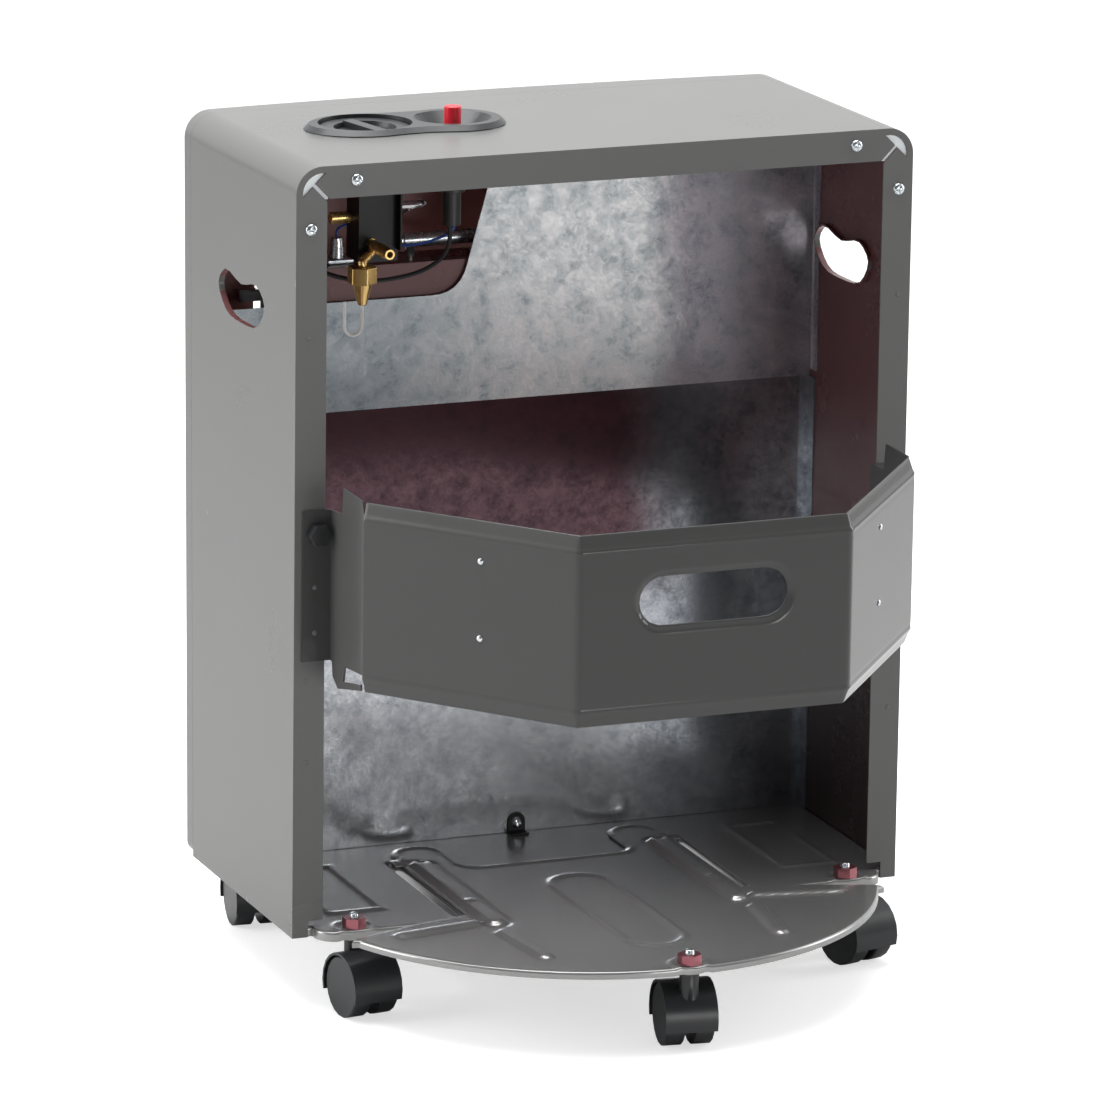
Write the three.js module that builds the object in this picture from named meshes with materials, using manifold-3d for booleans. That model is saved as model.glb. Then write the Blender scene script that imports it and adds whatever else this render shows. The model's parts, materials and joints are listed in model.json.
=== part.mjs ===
// Portable gas cabinet heater, seen from its open back: sheet cabinet, gas bay with a guard
// belt and a slide-out tray, burner behind a wire guard, valve with knob, igniter with button,
// five swivelling twin-wheel castors. Millimetres, +Z up, front towards -Y.
import * as THREE from 'three';
import { mergeVertices } from 'three/addons/utils/BufferGeometryUtils.js';
import Module from 'manifold-3d';

const wasm = await Module();
wasm.setup();

// ---------------------------------------------------------------- driving dimensions
const CLEAR = 0.3;               // gap kept between two pieces that touch
const SHEET = 1.5;               // painted cabinet sheet
const THIN_SHEET = 1.2;          // galvanised inner sheet
const ARC_STEPS = 8;             // steps in a quarter of a large round

// cabinet
const CABINET_WIDTH = 531.2;
const CABINET_DEPTH = 244;       // at the bottom edge, rear flange to front seam
const CABINET_TOP = 695;         // height of the rear top edge
const CABINET_BOTTOM = 61;       // height of the bottom edge
const CORNER_RADIUS = 22;
const FRONT_LEAN = 10.6;         // how much deeper the cabinet is at the top
const FRONT_DROP = 6.3;          // how far the top falls towards the front
const FLANGE_SIDE = 26;          // width of the upright rear flanges
const FLANGE_TOP = 26.5;         // height of the top rear flange
const FLANGE_NOTCH_HEIGHT = 14;  // foot of the flange cut away over the base plate
const FLANGE_NOTCH_INSET = 13.5; // strip of the flange that reaches the bottom edge
const MOON_RADIUS = 16.5;        // half-moon relief in each top corner of the flange
const MOON_START = 9.7;
const MITRE_SLOT = 3;
const FLANGE_HOLE = 2.4;         // radius of the screw holes in the flange

// hand-holds in the side walls
const HANDHOLD_CENTRE_Y = -125;
const HANDHOLD_DROP = 131.5;      // centre of the hand-holds below the rear top edge
const HANDHOLD_HALF_LENGTH = 55;
const HANDHOLD_HALF_HEIGHT = 20.5;
const HANDHOLD_LIP = 3.5;

// front panel
const FRONT_CORNER_DEPTH = 15;   // how far the front panel stands before the seam at its sides
const FRONT_BOW = 11.5;          // extra depth of the bowed front at its middle
const FRONT_BOTTOM_RADIUS = 10;
const WINDOW_HALF_WIDTH = 205;
const WINDOW_BOTTOM = 265;
const WINDOW_DROP = 136;          // top of the window below the rear top edge
const WINDOW_RADIUS = 24;
const VENT_COUNT = 6;
const VENT_LENGTH = 300;
const VENT_HEIGHT = 6;
const VENT_PITCH = 16;
const VENT_BOTTOM = 105;

// wire guard in the window
const GUARD_WIRE = 2.2;
const GUARD_FRAME_WIRE = 3;
const GUARD_ROWS = 9;
const GUARD_UPRIGHTS = 4;
const GUARD_RECESS = 9;          // guard frame behind the face of the front panel
const GUARD_LUG = 16;

// base plate and slide-out tray
const BASE_TOP = 69;
const BASE_RIM = 8;
const BASE_LEDGE_INSET = 17.6;    // end of the ledge inside the cabinet's side
const BASE_LEDGE = 20;           // how far the base plate reaches behind the cabinet
const BASE_LEDGE_RADIUS = 18;
const SLOT_CENTRE_X = 126;
const SLOT_WIDTH = 8;
const SLOT_FRONT = -150;
const TRAY_SHEET = 1.6;
const TRAY_ARC_RADIUS = 245;
const TRAY_REAR = 206;
const TRAY_EAR_X = 233;
const TRAY_EAR_Y = 46;
const TRAY_EAR_RADIUS = 14;
const TRAY_NECK_Y = 14;          // where the front edges of the ears meet the tongues
const TRAY_INNER_EDGE = -110;
const TRAY_RIM = 6;
const TONGUE_INNER_X = 73;
const TONGUE_TIP = -181;
const TONGUE_COVE = 12;
const TAB_LENGTH = 16;
const TAB_SHEET = 3;
const TAB_FOOT = 16;
const TAB_END_GAP = 2.5;          // play of the tab at each end of its slot
const TRAY_TRAVEL = 138;

// partition between the gas bay and the burner
const PARTITION_LOWER_Y = -198;  // rear faces
const PARTITION_UPPER_Y = -195;
const PARTITION_JOINT = 445;
const PARTITION_LAP = 6;
const PARTITION_FLANGE = 15;      // side flanges folded back along the cabinet walls
const CUTOUT_DROP = 158;          // bottom of the cut-out below the rear top edge
const CUTOUT_X = 46;
const CUTOUT_SLANT = 35;
const CUTOUT_RADIUS = 24;
const CATCH_X = -5;
const CATCH_WIDTH = 15.6;
const CATCH_HEIGHT = 17.5;
const CATCH_SCREW_Z = 78;

// burner
const HOUSING_HALF_WIDTH = 200;
const HOUSING_BOTTOM = 270;
const HOUSING_DROP = 130;         // top of the housing below the rear top edge
const HOUSING_DEPTH = 40.5;
const PLAQUE_COUNT = 3;
const PLAQUE_PLAY = 31.6;         // room between and beside the plaques, all together
const PLAQUE_THICKNESS = 12;
const PLAQUE_MARGIN = 12;
const PLAQUE_STEP = 5;           // pressed seat between the housing back and the plaques
const MANIFOLD_RADIUS = 6;
const MANIFOLD_Y = -222;
const MANIFOLD_LIFT = 14;
const MANIFOLD_LEFT = 92;
const MANIFOLD_RIGHT = -150;
const INJECTOR_RADIUS = 4;
const PILOT_X = 150;
const PILOT_SIZE = 22;
const PILOT_HEIGHT = 20;

// controls
const KNOB_X = 154;
const KNOB_Y = -147;
const KNOB_RADIUS = 37;
const KNOB_HEIGHT = 10;
const KNOB_RISE = 1.2;            // rim of the knob above the sheet below it
const KNOB_DISH_RADIUS = 26;
const KNOB_DISH_DEPTH = 4;
const KNOB_GRIP_WIDTH = 10;
const KNOB_GRIP_TURN = 103;      // degrees, as the knob stands at rest
const KNOB_GRIP_RISE = 1.5;
const KNOB_GAP = 1.5;
const KNOB_PUSH = 4;
const BEZEL_KNOB_LOBE = 50.5;
const BEZEL_BUTTON_LOBE = 43.5;
const BEZEL_DEPTH_RATIO = 0.86;  // the knob lobe is shallower than it is wide
const BEZEL_HEIGHT = 5;
const BEZEL_BEVEL = 4;
const BEZEL_WAIST = 5;
const BEZEL_WALL = 2.5;
const BUTTON_X = 79;
const BUTTON_Y = -145;
const BUTTON_RADIUS = 7;
const BUTTON_RISE = 10.6;         // top of the button above the rear top edge
const BUTTON_LENGTH = 26;
const BUTTON_GAP = 0.6;
const BUTTON_TRAVEL = 6;
const DISH_TOP_RADIUS = 32;
const DISH_FLOOR_RADIUS = 20;
const DISH_DEPTH = 12;
const OUTLET_DROP = 76;
const OUTLET_RADIUS = 5;
const OUTLET_LENGTH = 20;
const SPINDLE_RADIUS = 3;
const SLEEVE_RADIUS = 5.5;
const SLEEVE_LENGTH = 12;
const VALVE_DROP = 28;            // top of the valve below the rear top edge
const VALVE_LENGTH = 74;
const VALVE_HALF_WIDTH = 14;
const VALVE_X = 149.6;
const VALVE_FRONT = -160;
const VALVE_NECK_RADIUS = 8.5;
const VALVE_NECK = 4;
const BRACKET_HALF_WIDTH = 16.8;
const BRACKET_DROP = 110;
const BRACKET_REAR = -125.5;
const BRACKET_RETURN = 29;
const BRACKET_LIP = 10;
const IGNITER_RADIUS = 11;
const IGNITER_NECK_RADIUS = 7.5;
const IGNITER_WAIST_DROP = 60;
const IGNITER_DROP = 88;
const LEAD_RADIUS = 1.1;
const GROUND_LEAD_RADIUS = 1.9;

// gas inlet
const INLET_X = 168;
const INLET_Y = -112.5;
const NOZZLE_X = 155;
const NOZZLE_DROP = 95;
const NOZZLE_END_Y = -84;
const NOZZLE_RADIUS = 4.2;
const NOZZLE_RIDGE = 5.2;
const NOZZLE_BORE = 2.7;
const NOZZLE_RIDGES = 3;
const UNION_FLATS = 21.4;
const UNION_HEIGHT = 14;
const UNION_DROP = 109.5;
const CONE_LENGTH = 18;
const CONE_TOP_RADIUS = 8.8;
const CONE_TIP_RADIUS = 3.6;
const PIPE_RADIUS = 3.2;
const PIPE_DROP = 69;
const HOOK_WIRE = 1.3;
const HOOK_WIDTH = 15;
const HOOK_DROP = 24.5;

// guard belt around the cylinder
const BELT_END_INSET = 27.6;      // end of the belt inside the cabinet's side
const BELT_END_Y = 81;
const BELT_BEND_X = 115.6;
const BELT_BEND_Y = 234.5;
const BELT_BOTTOM = 285;
const BELT_TOP = 440;
const BELT_EDGE = 14;            // height of each leaning edge
const BELT_EDGE_LEAN = 5;
const BELT_SLOT_HALF_LENGTH = 64;
const BELT_SLOT_HEIGHT = 42;
const BELT_SLOT_RISE = 20;       // slot's centre above the middle of the belt
const BELT_SLOT_LIP = 4;
const BRACKET_PLATE_INSET = 31.6; // inner edge of the bracket's plate inside the side
const BRACKET_PLATE_MARGIN = 6.1; // outer edge of the bracket's plate inside the side
const BRACKET_PLATE_BOTTOM = 292;
const BRACKET_PLATE_TOP = 416;
const CHEEK_POINT_Y = 30;
const CHEEK_FOOT = 273;         // lowest point of the cheek's curled foot
const THUMB_INSET = 19.1;
const THUMB_Z = 397;
const THUMB_RADIUS = 9.5;
const THUMB_THICKNESS = 9;
const THUMB_SHANK = 2.5;
const THUMB_LOBES = 6;

// rear screws, mirrored left and right
const TOP_SCREW_INSET = 50.6;     // screws inside the side and below the rear top edge
const TOP_SCREW_DROP = 12.5;
const SIDE_SCREW_INSET = 12.6;
const SIDE_SCREW_DROP = 50.5;
const SCREW_HEAD = 5.2;
const SCREW_HEAD_HEIGHT = 3;
const SCREW_SHANK = 2;
const SCREW_LENGTH = 8;

// castors
const WHEEL_RADIUS = 25;
const WHEEL_WIDTH = 16;
const WHEEL_STEPS = 20;
const AXLE_RADIUS = 3;
const HOOD_RADIUS = 28.6;
const HOOD_WALL = 2;
const HOOD_WEB = 7;
const HOOD_STEPS = 20;
const CASTOR_TRAIL = 15;
const CASTOR_NECK_RADIUS = 8;
const STEM_RADIUS = 4;
const STEM_DEPTH = 20;           // how far the stem reaches down below the plate
const STEM_ABOVE = 12;
const WASHER_RADIUS = 8.6;
const WASHER_HEIGHT = 1.6;
const NUT_FLATS = 17;
const NUT_HEIGHT = 8;
const CASTOR_INSET = 49.6;        // castor stems inside the cabinet's side
const CASTOR_REAR_Y = 9.5;
const CASTOR_FRONT_Y = -222;
const TRAY_CASTOR_Y = 195;

// ---------------------------------------------------------------- worked-out sizes
const HALF_WIDTH = CABINET_WIDTH / 2;
const WALL_INNER = HALF_WIDTH - SHEET;
const CABINET_HEIGHT = CABINET_TOP - CABINET_BOTTOM;
const HANDHOLD_CENTRE_Z = CABINET_TOP - HANDHOLD_DROP;
const WINDOW_TOP = CABINET_TOP - WINDOW_DROP;
const BASE_LEDGE_HALF_WIDTH = HALF_WIDTH - BASE_LEDGE_INSET;
const CUTOUT_BOTTOM = CABINET_TOP - CUTOUT_DROP;
const HOUSING_TOP = CABINET_TOP - HOUSING_DROP;
const BUTTON_TOP = CABINET_TOP + BUTTON_RISE;
const OUTLET_Z = CABINET_TOP - OUTLET_DROP;
const VALVE_TOP = CABINET_TOP - VALVE_DROP;
const VALVE_BOTTOM = VALVE_TOP - VALVE_LENGTH;
const BRACKET_BOTTOM = CABINET_TOP - BRACKET_DROP;
const IGNITER_WAIST = CABINET_TOP - IGNITER_WAIST_DROP;
const IGNITER_BOTTOM = CABINET_TOP - IGNITER_DROP;
const NOZZLE_Z = CABINET_TOP - NOZZLE_DROP;
const UNION_TOP = CABINET_TOP - UNION_DROP;
const PIPE_Z = CABINET_TOP - PIPE_DROP;
const BELT_END_X = HALF_WIDTH - BELT_END_INSET;
const BRACKET_PLATE_INNER = HALF_WIDTH - BRACKET_PLATE_INSET;
const BRACKET_PLATE_OUTER = HALF_WIDTH - BRACKET_PLATE_MARGIN;
const THUMB_X = HALF_WIDTH - THUMB_INSET;
const TOP_SCREW_X = HALF_WIDTH - TOP_SCREW_INSET;
const TOP_SCREW_Z = CABINET_TOP - TOP_SCREW_DROP;
const SIDE_SCREW_X = HALF_WIDTH - SIDE_SCREW_INSET;
const SIDE_SCREW_Z = CABINET_TOP - SIDE_SCREW_DROP;
const CASTOR_X = HALF_WIDTH - CASTOR_INSET;
const PLAQUE_PITCH = (2 * HOUSING_HALF_WIDTH - 2 * THIN_SHEET) / PLAQUE_COUNT;
const PLAQUE_WIDTH = PLAQUE_PITCH - PLAQUE_PLAY / PLAQUE_COUNT;
const FRONT_REACH = CABINET_DEPTH + FRONT_CORNER_DEPTH + FRONT_BOW;
const TRAY_TOP = BASE_TOP + TRAY_SHEET + CLEAR + 0.1;
const HOUSING_BACK = PARTITION_LOWER_Y - THIN_SHEET - CLEAR;
const SLOT_REAR = SLOT_FRONT + TRAY_TRAVEL + TAB_LENGTH + 2 * TAB_END_GAP;
const TRAY_ARC_Y = TRAY_REAR - TRAY_ARC_RADIUS;
const TONGUE_OUTER_X = SLOT_CENTRE_X - SLOT_WIDTH / 2 - 1;
const MANIFOLD_Z = HOUSING_TOP + MANIFOLD_LIFT;
const BEZEL_CUP_DEPTH = KNOB_HEIGHT - KNOB_RISE + KNOB_PUSH + BEZEL_WALL + 2;
const DROP_SLOPE = FRONT_DROP / (CABINET_DEPTH + FRONT_LEAN);
// the frame's origin is under the middle of the object, belt to bowed front
const FRONT_EXTREME = FRONT_REACH * (1 + FRONT_LEAN / CABINET_DEPTH);
const SHIFT_Y = (FRONT_EXTREME - BELT_BEND_Y) / 2;

// place on an unleaned piece that ends up at y once its top has been leaned
function beforeLean(y) {
  return y / (1 + FRONT_LEAN / CABINET_DEPTH);
}

// height of the sloping top sheet's outer face at a place towards the front
function topAt(y) {
  return CABINET_TOP + DROP_SLOPE * y;
}

// ---------------------------------------------------------------- solids and cuts
function closed(geometry) {
  geometry.deleteAttribute('normal');
  geometry.deleteAttribute('uv');
  const merged = mergeVertices(geometry, 1e-4);
  return new wasm.Manifold(new wasm.Mesh({
    numProp: 3,
    vertProperties: new Float32Array(merged.attributes.position.array),
    triVerts: new Uint32Array(merged.index.array),
  }));
}

function toGeometry(solid) {
  const mesh = solid.getMesh();
  const geometry = new THREE.BufferGeometry();
  geometry.setAttribute('position', new THREE.BufferAttribute(mesh.vertProperties.slice(), 3));
  geometry.setIndex(new THREE.BufferAttribute(mesh.triVerts.slice(), 1));
  return geometry;
}

function box(x0, x1, y0, y1, z0, z1) {
  const geometry = new THREE.BoxGeometry(x1 - x0, y1 - y0, z1 - z0);
  geometry.translate((x0 + x1) / 2, (y0 + y1) / 2, (z0 + z1) / 2);
  return closed(geometry);
}

// outline in X and Y, raised from z0 to z1
function prismZ(shape, z0, z1, curveSegments = ARC_STEPS) {
  const geometry = new THREE.ExtrudeGeometry(shape, { depth: z1 - z0, bevelEnabled: false, curveSegments });
  geometry.translate(0, 0, z0);
  return closed(geometry);
}

// outline in X and Z, reaching from y0 back to y1
function prismY(shape, y0, y1, curveSegments = ARC_STEPS) {
  const geometry = new THREE.ExtrudeGeometry(shape, { depth: y1 - y0, bevelEnabled: false, curveSegments });
  const turn = new THREE.Matrix4().makeBasis(
    new THREE.Vector3(1, 0, 0), new THREE.Vector3(0, 0, 1), new THREE.Vector3(0, -1, 0));
  geometry.applyMatrix4(turn);
  geometry.translate(0, y1, 0);
  return closed(geometry);
}

// outline in Y and Z, reaching from x0 to x1
function prismX(shape, x0, x1, curveSegments = ARC_STEPS) {
  const geometry = new THREE.ExtrudeGeometry(shape, { depth: x1 - x0, bevelEnabled: false, curveSegments });
  const turn = new THREE.Matrix4().makeBasis(
    new THREE.Vector3(0, 1, 0), new THREE.Vector3(0, 0, 1), new THREE.Vector3(1, 0, 0));
  geometry.applyMatrix4(turn);
  geometry.translate(x0, 0, 0);
  return closed(geometry);
}

function postZ(x, y, z0, z1, bottomRadius, topRadius = bottomRadius, sides = 20) {
  const geometry = new THREE.CylinderGeometry(topRadius, bottomRadius, z1 - z0, sides);
  geometry.rotateX(Math.PI / 2);
  geometry.translate(x, y, (z0 + z1) / 2);
  return closed(geometry);
}

function postY(x, z, y0, y1, frontRadius, rearRadius = frontRadius, sides = 12) {
  const geometry = new THREE.CylinderGeometry(rearRadius, frontRadius, y1 - y0, sides);
  geometry.translate(x, (y0 + y1) / 2, z);
  return closed(geometry);
}

function postX(y, z, x0, x1, radius, sides = 16) {
  const geometry = new THREE.CylinderGeometry(radius, radius, x1 - x0, sides);
  geometry.rotateZ(Math.PI / 2);
  geometry.rotateX(Math.PI / sides);
  geometry.translate((x0 + x1) / 2, y, z);
  return closed(geometry);
}

function circleShape(radius, sides) {
  const points = [];
  for (let i = 0; i < sides; i++) {
    const angle = (i / sides) * Math.PI * 2;
    points.push(new THREE.Vector2(Math.cos(angle) * radius, Math.sin(angle) * radius));
  }
  return new THREE.Shape(points);
}

// round bar along a smooth path through hand-placed points
function bar(points, radius, sides, steps) {
  const path = new THREE.CatmullRomCurve3(points.map((p) => new THREE.Vector3(...p)), false, 'centripetal');
  return closed(new THREE.ExtrudeGeometry(circleShape(radius, sides), { extrudePath: path, steps }));
}

function roundedRect(u0, u1, v0, v1, radius) {
  const shape = new THREE.Shape();
  shape.moveTo(u0 + radius, v0);
  shape.lineTo(u1 - radius, v0);
  shape.absarc(u1 - radius, v0 + radius, radius, -Math.PI / 2, 0, false);
  shape.lineTo(u1, v1 - radius);
  shape.absarc(u1 - radius, v1 - radius, radius, 0, Math.PI / 2, false);
  shape.lineTo(u0 + radius, v1);
  shape.absarc(u0 + radius, v1 - radius, radius, Math.PI / 2, Math.PI, false);
  shape.lineTo(u0, v0 + radius);
  shape.absarc(u0 + radius, v0 + radius, radius, Math.PI, Math.PI * 1.5, false);
  return shape;
}

function hexagon(x, y, flats) {
  const points = [];
  for (let i = 0; i < 6; i++) {
    const angle = (i * Math.PI) / 3 + Math.PI / 6;
    const reach = flats / 2 / Math.cos(Math.PI / 6);
    points.push(new THREE.Vector2(x + reach * Math.cos(angle), y + reach * Math.sin(angle)));
  }
  return new THREE.Shape(points);
}

// the cabinet grows a little deeper, and its top falls, towards the upper front
function lean(solid) {
  return solid.warp((v) => {
    const height = (v[2] - CABINET_BOTTOM) / CABINET_HEIGHT;
    v[2] += DROP_SLOPE * v[1] * height;
    v[1] *= 1 + (FRONT_LEAN / CABINET_DEPTH) * height;
  });
}

// a level piece laid on the sloping top sheet
function slope(solid) {
  return solid.warp((v) => {
    v[2] += DROP_SLOPE * v[1];
  });
}

// ---------------------------------------------------------------- parts list
const heater = new THREE.Group();

const FINISH = {
  paint: { color: 0x6f6f6e, roughness: 0.45, metalness: 0.3 },
  galvanised: { color: 0xb9bdbe, roughness: 0.3, metalness: 0.9 },
  brass: { color: 0xb58a45, roughness: 0.3, metalness: 1 },
  chrome: { color: 0xd0d2d4, roughness: 0.15, metalness: 1 },
  zinc: { color: 0xbcc3c8, roughness: 0.3, metalness: 0.9 },
  black: { color: 0x1b1b1d, roughness: 0.5, metalness: 0 },
  darkGrey: { color: 0x55575a, roughness: 0.45, metalness: 0.1 },
  red: { color: 0xb8141f, roughness: 0.35, metalness: 0 },
  blue: { color: 0x24447c, roughness: 0.45, metalness: 0 },
  ceramic: { color: 0xd9c9b0, roughness: 0.9, metalness: 0 },
  wire: { color: 0xe9e9e6, roughness: 0.4, metalness: 0 },
};

function add(name, solid, finish) {
  const geometry = toGeometry(solid);
  geometry.translate(0, SHIFT_Y, 0);
  geometry.computeVertexNormals();
  const mesh = new THREE.Mesh(geometry, new THREE.MeshStandardMaterial(FINISH[finish]));
  mesh.name = name;
  heater.add(mesh);
}

// ---------------------------------------------------------------- cabinet
// upright outline of the cabinet, seen from the back, drawn in by a wall
function cabinetOutline(inset) {
  const half = HALF_WIDTH - inset;
  const top = CABINET_TOP - inset;
  const radius = CORNER_RADIUS - inset;
  const shape = new THREE.Shape();
  shape.moveTo(-half, CABINET_BOTTOM);
  shape.lineTo(half, CABINET_BOTTOM);
  shape.lineTo(half, top - radius);
  shape.absarc(half - radius, top - radius, radius, 0, Math.PI / 2, false);
  shape.lineTo(-half + radius, top);
  shape.absarc(-half + radius, top - radius, radius, Math.PI / 2, Math.PI, false);
  return shape;
}

// bean-shaped outline of a hand-hold in Y and Z
function handholdOutline(inset) {
  const a = HANDHOLD_HALF_LENGTH - inset;
  const b = HANDHOLD_HALF_HEIGHT - inset;
  const outline = [
    [-1, 0.2], [-0.7, 0.97], [0, 0.68], [0.66, 0.97], [1, 0.3], [0.72, -0.75], [0, -1], [-0.66, -0.8]];
  const points = outline.map(([u, v]) => (
    new THREE.Vector3(HANDHOLD_CENTRE_Y + a * u, HANDHOLD_CENTRE_Z + b * v, 0)));
  const curve = new THREE.CatmullRomCurve3(points, true, 'centripetal');
  const rim = curve.getPoints(outline.length * 3).slice(0, -1);
  return new THREE.Shape(rim.map((p) => new THREE.Vector2(p.x, p.y)));
}

function cornerRelief(side) {
  const cx = HALF_WIDTH - CORNER_RADIUS;
  const cz = CABINET_TOP - CORNER_RADIUS;
  const half = Math.sqrt(MOON_RADIUS ** 2 - MOON_START ** 2);
  const sweep = Math.atan2(half, MOON_START);
  const points = [];
  for (let i = 0; i <= ARC_STEPS; i++) {
    const angle = Math.PI / 4 - sweep + (2 * sweep * i) / ARC_STEPS;
    points.push([cx + MOON_RADIUS * Math.cos(angle), cz + MOON_RADIUS * Math.sin(angle)]);
  }
  const across = MITRE_SLOT / 2 / Math.SQRT2;
  const inner = [HALF_WIDTH - FLANGE_SIDE - 2, CABINET_TOP - FLANGE_TOP - 2];
  const start = MOON_START / Math.SQRT2;
  points.push([cx + start - across, cz + start + across]);
  points.push([inner[0] - across, inner[1] + across]);
  points.push([inner[0] + across, inner[1] - across]);
  points.push([cx + start + across, cz + start - across]);
  const outline = points.map(([x, z]) => new THREE.Vector2(side * x, z));
  return prismY(new THREE.Shape(outline), -SHEET - 1, 1);
}

function cabinetShell() {
  let shell = prismY(cabinetOutline(0), -CABINET_DEPTH, 0);
  const room = prismY(cabinetOutline(SHEET), -CABINET_DEPTH - 1, -SHEET);
  const below = CABINET_BOTTOM - 1;
  const mouthHalf = HALF_WIDTH - FLANGE_SIDE;
  const mouth = box(-mouthHalf, mouthHalf, -SHEET - 1, 1, below, CABINET_TOP - FLANGE_TOP);
  const floorGap = box(-WALL_INNER, WALL_INNER, -CABINET_DEPTH - 1, -SHEET, below, CABINET_BOTTOM + 1);
  const footHalf = HALF_WIDTH - FLANGE_NOTCH_INSET;
  const foot = box(-footHalf, footHalf, -SHEET - 1, 1, below, CABINET_BOTTOM + FLANGE_NOTCH_HEIGHT);
  shell = shell.subtract(room).subtract(mouth).subtract(floorGap).subtract(foot);
  for (const side of [-1, 1]) {
    const lip = [side * (WALL_INNER - HANDHOLD_LIP), side * (WALL_INNER + 1)];
    const hand = [side * (WALL_INNER - HANDHOLD_LIP - 1), side * (HALF_WIDTH + 1)];
    shell = shell.add(prismX(handholdOutline(0), Math.min(...lip), Math.max(...lip)));
    shell = shell.subtract(prismX(handholdOutline(SHEET), Math.min(...hand), Math.max(...hand)));
    shell = shell.subtract(cornerRelief(side));
    shell = shell.subtract(postY(side * TOP_SCREW_X, TOP_SCREW_Z, -SHEET - 1, 1, FLANGE_HOLE));
    shell = shell.subtract(postY(side * SIDE_SCREW_X, SIDE_SCREW_Z, -SHEET - 1, 1, FLANGE_HOLE));
    shell = shell.subtract(postY(side * THUMB_X, THUMB_Z, -SHEET - 1, 1, THUMB_SHANK + CLEAR));
  }
  const under = CABINET_TOP - SHEET - 5;
  const over = CABINET_TOP + 5;
  const knobHole = KNOB_RADIUS + KNOB_GAP + BEZEL_WALL + 2 * CLEAR;
  shell = shell.subtract(postZ(KNOB_X, beforeLean(KNOB_Y), under, over, knobHole, knobHole, 32));
  const dishHole = DISH_TOP_RADIUS + BEZEL_WALL;
  shell = shell.subtract(postZ(BUTTON_X, beforeLean(BUTTON_Y), under, over, dishHole, dishHole, 32));
  return lean(shell);
}

// plate behind each top corner relief
function cornerPiece(side) {
  const reach = CORNER_RADIUS + 5;
  const inner = prismY(cabinetOutline(SHEET + CLEAR), -SHEET - CLEAR - THIN_SHEET, -SHEET - CLEAR);
  const x0 = HALF_WIDTH - reach;
  const window = side > 0
    ? box(x0, HALF_WIDTH, -10, 1, CABINET_TOP - reach, CABINET_TOP)
    : box(-HALF_WIDTH, -x0, -10, 1, CABINET_TOP - reach, CABINET_TOP);
  return inner.intersect(window);
}

// ---------------------------------------------------------------- bowed front
const BOW_RADIUS = (HALF_WIDTH ** 2 + FRONT_BOW ** 2) / (2 * FRONT_BOW);
const BOW_CENTRE_Y = -FRONT_REACH + BOW_RADIUS;
const BOW_ANGLE = Math.asin(HALF_WIDTH / BOW_RADIUS);

// distance to the bowed face at a place across the front
function bowY(x, inset) {
  return BOW_CENTRE_Y - Math.sqrt((BOW_RADIUS - inset) ** 2 - x ** 2);
}

// plan of the front panel, from the seam to the bow, drawn in by a wall
function frontPlan(inset, rear) {
  const half = HALF_WIDTH - inset;
  const steps = 2 * ARC_STEPS;
  const points = [new THREE.Vector2(half, rear), new THREE.Vector2(-half, rear)];
  for (let i = 0; i <= steps; i++) {
    const x = -half + (2 * half * i) / steps;
    points.push(new THREE.Vector2(x, bowY(x, inset)));
  }
  return new THREE.Shape(points);
}

function frontFace(inset) {
  const half = HALF_WIDTH - inset;
  const top = CABINET_TOP - inset;
  const bottom = CABINET_BOTTOM + inset;
  const topRadius = CORNER_RADIUS - inset;
  const footRadius = FRONT_BOTTOM_RADIUS - inset;
  const shape = new THREE.Shape();
  shape.moveTo(-half + footRadius, bottom);
  shape.lineTo(half - footRadius, bottom);
  shape.absarc(half - footRadius, bottom + footRadius, footRadius, -Math.PI / 2, 0, false);
  shape.lineTo(half, top - topRadius);
  shape.absarc(half - topRadius, top - topRadius, topRadius, 0, Math.PI / 2, false);
  shape.lineTo(-half + topRadius, top);
  shape.absarc(-half + topRadius, top - topRadius, topRadius, Math.PI / 2, Math.PI, false);
  shape.lineTo(-half, bottom + footRadius);
  shape.absarc(-half + footRadius, bottom + footRadius, footRadius, Math.PI, Math.PI * 1.5, false);
  return shape;
}

function frontPanel() {
  const seam = -CABINET_DEPTH - CLEAR;
  const body = prismZ(frontPlan(0, seam), CABINET_BOTTOM, CABINET_TOP)
    .intersect(prismY(frontFace(0), -FRONT_REACH - 1, 0));
  const pocket = prismZ(frontPlan(SHEET, seam + 1), CABINET_BOTTOM, CABINET_TOP)
    .intersect(prismY(frontFace(SHEET), -FRONT_REACH - 1, 0));
  const window = roundedRect(-WINDOW_HALF_WIDTH, WINDOW_HALF_WIDTH, WINDOW_BOTTOM, WINDOW_TOP, WINDOW_RADIUS);
  let panel = body.subtract(pocket).subtract(prismY(window, -FRONT_REACH - 1, 0));
  for (let i = 0; i < VENT_COUNT; i++) {
    const z = VENT_BOTTOM + i * VENT_PITCH;
    panel = panel.subtract(box(-VENT_LENGTH / 2, VENT_LENGTH / 2, -FRONT_REACH - 1, 0, z, z + VENT_HEIGHT));
  }
  return lean(panel);
}

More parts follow.
